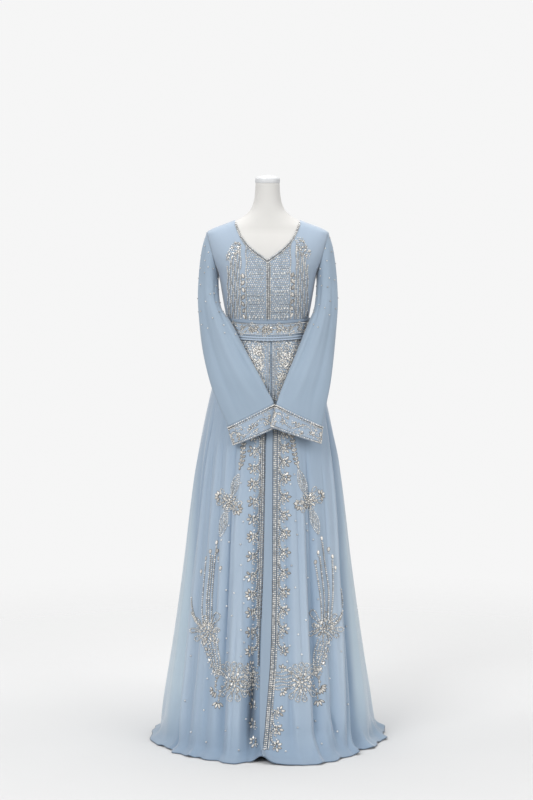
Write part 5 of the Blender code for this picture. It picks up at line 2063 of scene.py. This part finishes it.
def border(layout, side, heights):
    """A beaded border beside the lap: a dense stripe, with scrolls and clusters outside it."""
    levels, left_edge, right_edge = zip(*BORDER_EDGES)
    edge = right_edge if side > 0 else left_edge
    strings, threads, scrolls_from, clusters_from = RIGHT_BORDER if side > 0 else LEFT_BORDER

    def beside(z, offset):
        return np.column_stack([np.interp(z, levels, edge) + side * offset, z])

    z = np.linspace(levels[0] if side > 0 else LEFT_BORDER_LOW, levels[-1], 160)
    for offset, size in strings:
        layout.string(beside(z, offset), size)
    for offset, size in threads:
        layout.thread(beside(z, offset), size)
    if side < 0:
        z = np.linspace(LEFT_SCROLLS_LOW, LEFT_BORDER_LOW, 40)
        layout.thread(beside(z, LOW_LEFT_THREAD[0]), LOW_LEFT_THREAD[1])
        layout.string(beside(z, LOW_LEFT_STRING[0]), LOW_LEFT_STRING[1])
    for i, height in enumerate(heights):
        at = np.interp(height, levels, edge)
        out_at = np.interp(height, *zip(*clusters_from))
        base = np.array([at + side * out_at, height - 0.003])
        lean = BORDER_LEAN * layout.loose()
        turn = lean if side > 0 else 180.0 - lean
        fan(layout, base, turn, *BORDER_FANS[i % len(BORDER_FANS)], *BORDER_FAN_SIZES)
        fan(layout, base, turn, *BORDER_SMALL_FAN)
        start = at + side * min(np.interp(height, *zip(*scrolls_from)), out_at - 0.006)
        layout.string([(start, height + 0.001), base], BORDER_STEM)
        (across, down), radius, size = BORDER_RING
        layout.string(arc(base - (side * across, down), radius, RING_END), size)
        (across, up), size = BORDER_PEARL
        layout.pearls([base + (side * across, up)], size)
    for low, high in zip(heights[1:], heights):
        if high - low > BORDER_GAP or (side < 0 and low < LEFT_SCROLLS_LOW):
            continue
        middle = (low + high) / 2
        at = np.interp(middle, levels, edge) + side * np.interp(middle, *zip(*scrolls_from))
        scroll(layout, np.array([at, middle]), side, (high - low) * SCROLL_SHARE)


def scroll(layout, foot, side, half_height):
    """A C-shaped scroll with a small ring and a pearl inside."""
    turn = np.radians(np.linspace(-SCROLL_TURN, SCROLL_TURN, 26))
    for lay, (size, reach, taller) in (
        (layout.string, SCROLL_STRING),
        (layout.thread, SCROLL_THREAD),
    ):
        x = foot[0] + side * (SCROLL_MIDDLE - reach * np.cos(turn))
        lay(np.column_stack([x, foot[1] + (half_height + taller) * np.sin(turn)]), size)
    end = foot + (side * 0.0125, half_height * 0.3)
    layout.string(arc(end, 0.0044, RING_END), 0.0042)
    layout.pearls([foot + (side * 0.015, -half_height * 0.45)], 0.005)


def chevrons(layout, *spine):
    """Pairs of leaves that open upwards along a spine, and one leaf that hangs at its foot."""
    length = CHEVRON_LENGTH
    places, turns = threaded(curve(spine), 0.012)
    for place, turn in zip(places, turns):
        for away in (-142.0, 142.0):
            lean = turn + math.radians(away)
            centre = place + np.array([math.cos(lean), math.sin(lean)]) * length * 0.55
            layout.leaf(centre, lean, length, length * 0.5)
    layout.string(curve(spine))
    layout.leaf(spine[-1], turns[-1], length * 1.1, length * 0.5)


def leafy_string(layout, path, shift, lean):
    """Small leaves along a path, all shifted and leaning the same way from it."""
    for place, turn in zip(*threaded(path, 0.012)):
        layout.leaf(place + (0.0, shift), turn + lean, *STALK_LEAF)


def long_star(layout, centre, leaves, fans, loops):
    """Two long filled leaves that meet at a dense centre of stones, with clusters beside it."""
    for leaf in leaves:
        filled_leaf(layout, *leaf)
    heart(layout, centre, *STAR_HEART)
    for base, turn, count in fans:
        layout.string(curve([centre, (np.asarray(centre) + base) / 2, base]))
        fan(layout, base, turn, count)
    for loop in loops:
        petal(layout, *loop)


def hanging_strings(layout, lines, stones):
    """Long strings that hang in a group below single oval stones."""
    for line, doubled in lines:
        path = curve(line)
        layout.string(path, 0.0052, 0.0058)
        if doubled:
            layout.string(path + (0.0062, 0.0), 0.0048, 0.0054)
    for place in stones:
        layout.stone(place, math.radians(80.0), *OVAL_DROP)
        layout.pearls([np.asarray(place) + (0.0, -0.0095)], 0.0042)


def middle_flower(layout, centre, petals, arms):
    """A flower of stones with loops round it, under the hanging strings."""
    heart(layout, centre, *MIDDLE_HEART)
    for turn, length, width in petals:
        base = off(centre, turn, 0.016)
        petal(layout, base, turn, length * 1.08, width * 1.15, 0.0044)
        layout.pearls([off(base, turn, length * 0.6)], 0.0044)
    for line in arms:
        path = curve(line)
        layout.string(path, 0.0044)
        layout.string(path + (0.0, 0.0058))
        leafy_string(layout, path, 0.0062, 0.8)


def falling_band(layout, inner, outer, outward):
    """A band of strings that narrows as it falls, with drop stones on its outer edge."""
    inner, outer = curve(inner), curve(outer)
    for part in (0.02, 0.28, 0.54, 0.8):
        layout.string(inner + (outer - inner) * part, 0.0047, 0.0054)
    scatter(layout, np.concatenate([inner, outer[::-1]]), 0.01, PEARL_SIZE * 0.8)
    lean = 55.0 if outward > 0 else 125.0
    for place in threaded(outer, 0.0165)[0]:
        layout.leaf(off(place, lean, 0.003), math.radians(lean), *DROP_LEAF)
        layout.pearls([off(place, lean - 100.0 * outward, 0.007)], 0.0042)


def ringed_flower(layout, centre, petals, low_petals, fans, stalks):
    """A dense flower of stones, ringed above and below by looped petals."""
    heart(layout, centre, *RINGED_HEART)
    for turn in petals:
        base = off(centre, turn, 0.028)
        petal(layout, base, turn, 0.025, 0.015, 0.0038)
        layout.string([base, off(base, turn, 0.016)], FILL_SIZE)
    for turn, length in low_petals:
        base = off(centre, turn, 0.027)
        petal(layout, base, turn, length, 0.015)
        layout.pearls([off(base, turn, length * 0.7)], 0.0046)
    for line in stalks:
        layout.string(curve(line))
        leafy_string(layout, curve(line), 0.005, 1.9)
    for base, turn, count in fans:
        fan(layout, base, turn, count, *LOW_FAN_SIZES)


def link_band(layout, side, near, far, low, high):
    """Strings that run from the border to the ringed flower, with a cluster above and below."""
    across = np.linspace(near, far, 24)
    outline = box(near, low, far, high)
    if side < 0:
        curls(layout, outline, 0.0086, 0.0062)
        curls(layout, outline, 0.012, 0.005)
    for i, level in enumerate(np.linspace(low, high, 6)):
        wave = 0.002 * np.sin(across * 150.0 + i * 1.3)
        layout.string(np.column_stack([across, level + wave]), 0.0044)
    middle = (near + far) / 2
    fan(layout, (middle, high + 0.005), 60.0 if side > 0 else 120.0, 4, 120.0, 0.012)
    fan(layout, (middle, low - 0.005), -45.0 if side > 0 else -135.0, 4, 120.0, 0.012)


def front_panel(layout):
    """The densely worked front below the belt, between the sleeves."""
    for outline in FRONT_PANEL:
        curls(layout, outline, 0.022, 0.015, 0.2)
        scatter(layout, outline, 0.0049, FILL_SIZE)
        leaves_strewn(layout, outline, 0.017, PEARL_SIZE * 0.8, PANEL_LEAF)
    for centre, radius in FRONT_PANEL_BRIGHT:
        blossom(layout, centre, 8, radius * 0.62, 0.0096, 0.0052, 12.0)
        scatter(layout, disc(centre, radius), 0.007, PEARL_SIZE * 0.9)
    for x, size in FRONT_PANEL_STRINGS:
        layout.string(upright(x, FRONT_PANEL_LOW, FRONT_PANEL_TOP), size)
    layout.thread(upright(0.0102, FRONT_PANEL_LOW, FRONT_PANEL_TOP), 0.0024)


def upright(x, low, high):
    return [(x, low), (x, high)]


def level(half, height):
    return [(-half, height), (half, height)]


def box(left, low, right, high):
    return [(left, low), (right, low), (right, high), (left, high)]


def skirt_layout():
    layout = Layout(11)
    border(layout, -1.0, LEFT_CLUSTERS)
    border(layout, 1.0, RIGHT_CLUSTERS)
    front_panel(layout)
    for lay, table in (
        (chevrons, GARLANDS),
        (long_star, STARS),
        (hanging_strings, HANGING),
        (middle_flower, MIDDLE_FLOWERS),
        (falling_band, FALLING_BANDS),
        (ringed_flower, RINGED_FLOWERS),
        (link_band, LINKS),
    ):
        for motif in table:
            lay(layout, *motif)
    layout.string(arc(LOW_RING, 0.01, 340.0), FILL_SIZE)
    layout.pearls(SKIRT_PEARLS)
    return layout


def neck_lines(neck, drops):
    """Lines that follow both sides of the neck edge at these distances below it."""
    points = np.array([(x, z) for z, x in neck])
    return [[points * (side, 1.0) - (0.0, drop) for drop in drops] for side in (-1.0, 1.0)]


def bodice_layout():
    layout = Layout(23)
    for upper, between, lower in neck_lines(FRONT_NECK, (0.0024, 0.0058, 0.0092)):
        layout.string(upper, 0.0042)
        layout.thread(between, 0.0022)
        layout.string(lower, 0.0038)
    for outline in BODICE_MESH:
        lattice(layout, outline, 0.0056, 0.0058, FILL_SIZE)
        lattice(layout, outline, 0.0112, 0.0116, 0.0046, PEARL)
    for x, size in BODICE_MIDDLE_STRINGS:
        layout.string(upright(x, BODICE_BEADS_LOW, 1.366), size)
    for x in BODICE_MIDDLE_THREADS:
        layout.thread(upright(x, BODICE_BEADS_LOW, 1.362), 0.0014)
    for low_x, high_x, height, tilt in BODICE_THREADS:
        layout.thread([(low_x, height), (high_x, height + tilt)], 0.0013)
    for low_x, high_x, height, tilt in BODICE_BRIGHT_ROWS:
        places = threaded([(low_x, height), (high_x, height + tilt)], 0.0088)[0]
        layout.pearls(places, 0.006)
    for x, low, high in BODICE_STRINGS:
        z = np.linspace(low, high, 60)
        wave = x + 0.0012 * np.sin(z * 120.0 + x * 400.0)
        layout.string(np.column_stack([wave, z]), 0.0044)
    for i, place in enumerate(BODICE_CRYSTALS):
        layout.leaf(place, math.radians(62.0 if i % 2 else 112.0), *CRYSTAL)
    for outline in BODICE_SHOULDERS:
        scatter(layout, outline, 0.0056, FILL_SIZE)
        leaves_strewn(layout, outline, 0.013, PEARL_SIZE * 0.9, SHOULDER_LEAF)
    return layout


def vine(layout, half, middle, swing, length):
    """A waving string with curls, leaves and small flowers at its turns."""
    u = np.arange(-half, half, 0.002)
    line = np.column_stack([u, middle + swing * np.sin(2 * math.pi * u / length)])
    layout.string(line, 0.0034)
    layout.thread(line + (0.0, 0.0026), 0.0014)
    for i, at in enumerate(np.arange(-half + length / 4, half, length / 2)):
        side = 1.0 if math.sin(2 * math.pi * at / length) > 0 else -1.0
        top = np.array([at, middle + side * swing])
        layout.string(curl(top, 180.0 - 30.0 * side, swing * 1.15, -side), 0.003)
        layout.string(curl(top, -20.0 * side, swing * 0.95, side), 0.003)
        foot = np.array([at, middle - side * swing * 0.35])
        blossom(layout, foot, 5, 0.005, 0.0066, 0.004, 18.0 * i)
        layout.pearls([foot], 0.0036)
        layout.leaf(top + (0.01, -side * 0.002), -0.5 * side, *VINE_LEAF)


def belt_layout():
    layout = Layout(37)
    half = BELT_ROUND / 2
    for height, size in BELT_STRINGS:
        layout.string(level(half, height), size)
    for height, size in BELT_THREADS:
        layout.thread(level(half, height), size)
    vine(layout, half, 0.0335, 0.0088, 0.062)
    scatter(layout, box(-half, 0.0225, half, 0.045), 0.013, 0.003)
    centre = (0.0, 0.0335)
    blossom(layout, centre, 9, 0.009, 0.01, 0.0054)
    blossom(layout, centre, 4, 0.0036, 0.006, 0.0042)
    for x, turn in ((0.021, 0.0), (-0.021, 180.0)):
        fan(layout, (x * 0.8, centre[1]), turn, 4, 120.0, 0.01)
        blossom(layout, (x * 1.9, centre[1] - 0.002), 6, 0.0062, 0.008, 0.0046)
    return layout


def cuff_layout(seed, high):
    layout = Layout(seed)
    half = CUFF_ROUND / 2
    for height, size in ((high - 0.0034, 0.0044), (high - 0.0092, 0.0034), (0.003, 0.0038)):
        layout.string(level(half, height), size)
    for height, size in ((high - 0.0064, 0.002), (0.0062, 0.0016)):
        layout.thread(level(half, height), size)
    vine(layout, half, 0.028, 0.012, 0.066)
    outline = box(-half, 0.01, half, 0.046)
    scatter(layout, outline, 0.0092, 0.0028)
    leaves_strewn(layout, outline, 0.0215, 0.0036, CUFF_LEAF, (0.004, 0.003))
    for fold in (-half / 2, half / 2):
        layout.string(upright(fold, 0.004, high - 0.01), 0.0034)
    return layout


def sleeve_layout(seed):
    """Small beads strewn over the upper part of a sleeve."""
    layout = Layout(seed)
    half = SLEEVE_ROUND / 2
    scatter(layout, box(-half, SLEEVE_BEADS_LOW, half, SLEEVE_BEADS_HIGH), 0.036, 0.0036)
    return layout


def back_layout():
    """The bead line round the back of the neck, and pearls strewn over the back."""
    layout = Layout(53)
    for upper, lower in neck_lines(BACK_NECK, (0.003, 0.0085)):
        layout.string(upper, 0.0042)
        layout.string(lower, 0.0036)
    scatter(layout, BACK_PEARLS, 0.085, 0.0046)
    return layout


# Putting the pieces together


def place(pieces, slots):
    """Each piece rides on the body and takes the place of its node."""
    for node, obj in pieces.items():
        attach(obj, "root")
        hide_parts(node)


def area_light(name, location, target, size, power):
    data = bpy.data.lights.new(name, "AREA")
    data.size = size
    data.energy = power
    light = add_object(name, data)
    light.location = location
    light.rotation_euler = (Vector(target) - light.location).to_track_quat("-Z", "Y").to_euler()


def make_camera():
    data = bpy.data.cameras.new("camera")
    data.sensor_fit = "VERTICAL"
    data.sensor_height = SENSOR_HEIGHT
    data.lens = LENS
    camera = add_object("camera", data)
    camera.location = CAMERA_PLACE
    camera.rotation_euler = (math.radians(90.0 - CAMERA_DOWN), 0.0, 0.0)
    bpy.context.scene.camera = camera


def blend_shaders(tree, factor, first, second, output):
    """Two shaders blended by a factor, on the Surface of the tree's output node."""
    inputs = ((0, factor), (1, first.outputs[0]), (2, second.outputs[0]))
    blend = add_node(tree, "ShaderNodeMixShader", inputs)
    tree.links.new(blend.outputs[0], tree.nodes[output].inputs["Surface"])


def make_floor():
    """A pale round floor whose edge fades into the backdrop, painted paler further back as painted
    light.
    """
    material, tree, shader = new_material("floor_paper", Roughness=0.9, Specular_IOR_Level=0.1)
    place_out = object_place(tree)
    near_colour = mixed(tree, noise(tree, place_out, 3.0), dimmed(FLOOR_WHITE, 0.97), FLOOR_WHITE)
    # Painted light: the floor is paler further back
    painted_far_light = ramp(tree, parts_of(tree, place_out)["Y"], FLOOR_NEAR_Y, FLOOR_FAR_Y, kind="SMOOTHSTEP")
    drive(tree, shader, Base_Color=mixed(tree, painted_far_light, near_colour, FLOOR_FAR_LIT))
    fade = ramp(tree, length_of(tree, place_out), FLOOR_CLEAR, FLOOR_EDGE, kind="SMOOTHSTEP")
    open_air = add_node(tree, "ShaderNodeBsdfTransparent")
    blend_shaders(tree, fade, shader, open_air, "Material Output")
    turn = full_turn(FLOOR_CORNERS)
    rim = np.stack([np.sin(turn), np.cos(turn), np.zeros(FLOOR_CORNERS)], axis=1) * FLOOR_EDGE
    rim[:, 2] = -FLOOR_DROP
    faces = [list(range(FLOOR_CORNERS))[::-1]]
    new_object("floor", rim, faces, [material], smooth_faces=False)


def make_world():
    """An even pale backdrop, and a softer light in the room that darkens towards the floor."""
    world = bpy.data.worlds.new("studio")
    world.use_nodes = True
    tree = world.node_tree
    backdrop = tree.nodes["Background"]
    backdrop.inputs["Color"].default_value = BACKDROP_WHITE
    direction = add_node(tree, "ShaderNodeTexCoord").outputs["Generated"]
    upward = ramp(tree, parts_of(tree, direction)["Z"], *ROOM_HEIGHTS)
    room_light = mixed(tree, upward, ROOM_LOW, ROOM_HIGH)
    room = add_node(tree, "ShaderNodeBackground", ((0, room_light), (1, ROOM_POWER)))
    seen = add_node(tree, "ShaderNodeLightPath").outputs["Is Camera Ray"]
    blend_shaders(tree, seen, room, backdrop, "World Output")
    bpy.context.scene.world = world


slots = {part["node"]: part["material_slot"] for part in frame["record"]["subparts"]}
gown_cloth = chiffon("gown_chiffon", CHIFFON_LIGHT, CHIFFON_DEEP, CHIFFON_SIDE_LIT)
beaded_cloth = chiffon("beaded_chiffon", BEADED_LIGHT, BEADED_DEEP)
hem_cloth = chiffon("hem_chiffon", HEM_LIGHT, HEM_DEEP)
sleeve_cloth = chiffon("sleeve_chiffon", SLEEVE_LIGHT, SLEEVE_DEEP)
placket_cloth = chiffon("placket_chiffon", PLACKET_LIGHT, PLACKET_DEEP)
steel = metal("stand_steel", STEEL)
for node in ("form_pole", "form_base"):
    for slot in bpy.data.objects[node].material_slots:
        slot.material = steel

pieces = make_bodice(beaded_cloth, gown_cloth)
skirt, hems = make_skirt(gown_cloth, placket_cloth, hem_cloth)
pieces.update(skirt)
pieces.update(make_belt(beaded_cloth))
pieces.update(make_sleeve("left", -1.0, LEFT_SLEEVE, sleeve_cloth, beaded_cloth))
pieces.update(make_sleeve("right", 1.0, RIGHT_SLEEVE, sleeve_cloth, beaded_cloth))
form_jersey = jersey("form_jersey", FORM_WHITE, FORM_SHADE)
pieces.update(make_form(form_jersey, glossy("cap_gloss", CAP_WHITE, 0.3)))
place(pieces, slots)
for hem in hems.values():
    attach(hem, "root")

finishes = [bead_finish(*finish) for finish in BEAD_FINISHES]
skirt_front = SeenFrom(("placket_cloth", "skirt_front_left_cloth", "skirt_front_right_cloth"))
bead_object("skirt_beads", skirt_layout(), skirt_front, finishes)
bodice_front = SeenFrom(("bodice_left", "bodice_right"))
bead_object("bodice_beads", bodice_layout(), bodice_front, finishes)
belt_rows = (len(BELT_SECTION) - 1) * BELT_STEPS_PER_PART + 1
belt_band = Wrapped("belt_cloth", belt_rows, 0, 1.0, rows_rise=True)
bead_object("belt_beads", belt_layout(), belt_band, finishes)
sleeve_rows = CUFF_SEAM_ROW * SLEEVE_STEPS_PER_ROW + 1
for word, sense, seed in (("left", 1.0, 41), ("right", -1.0, 43)):
    band = Wrapped("cuff_%s_cloth" % word, CUFF_STEPS + 1, SLEEVE_COLUMNS / 4, sense)
    bead_object("cuff_%s_beads" % word, cuff_layout(seed, band.high), band, finishes)
    sleeve = Wrapped("sleeve_%s_cloth" % word, sleeve_rows, SLEEVE_COLUMNS / 4, sense)
    bead_object("sleeve_%s_beads" % word, sleeve_layout(seed + 20), sleeve, finishes)
back_panels = SeenFrom(("bodice_rear", "skirt_back_cloth"), 1.0)
bead_object("back_beads", back_layout(), back_panels, finishes)

make_camera()
make_floor()
make_world()
for light in LIGHTS:
    area_light(*light)

bpy.context.scene.view_settings.view_transform = "Standard"
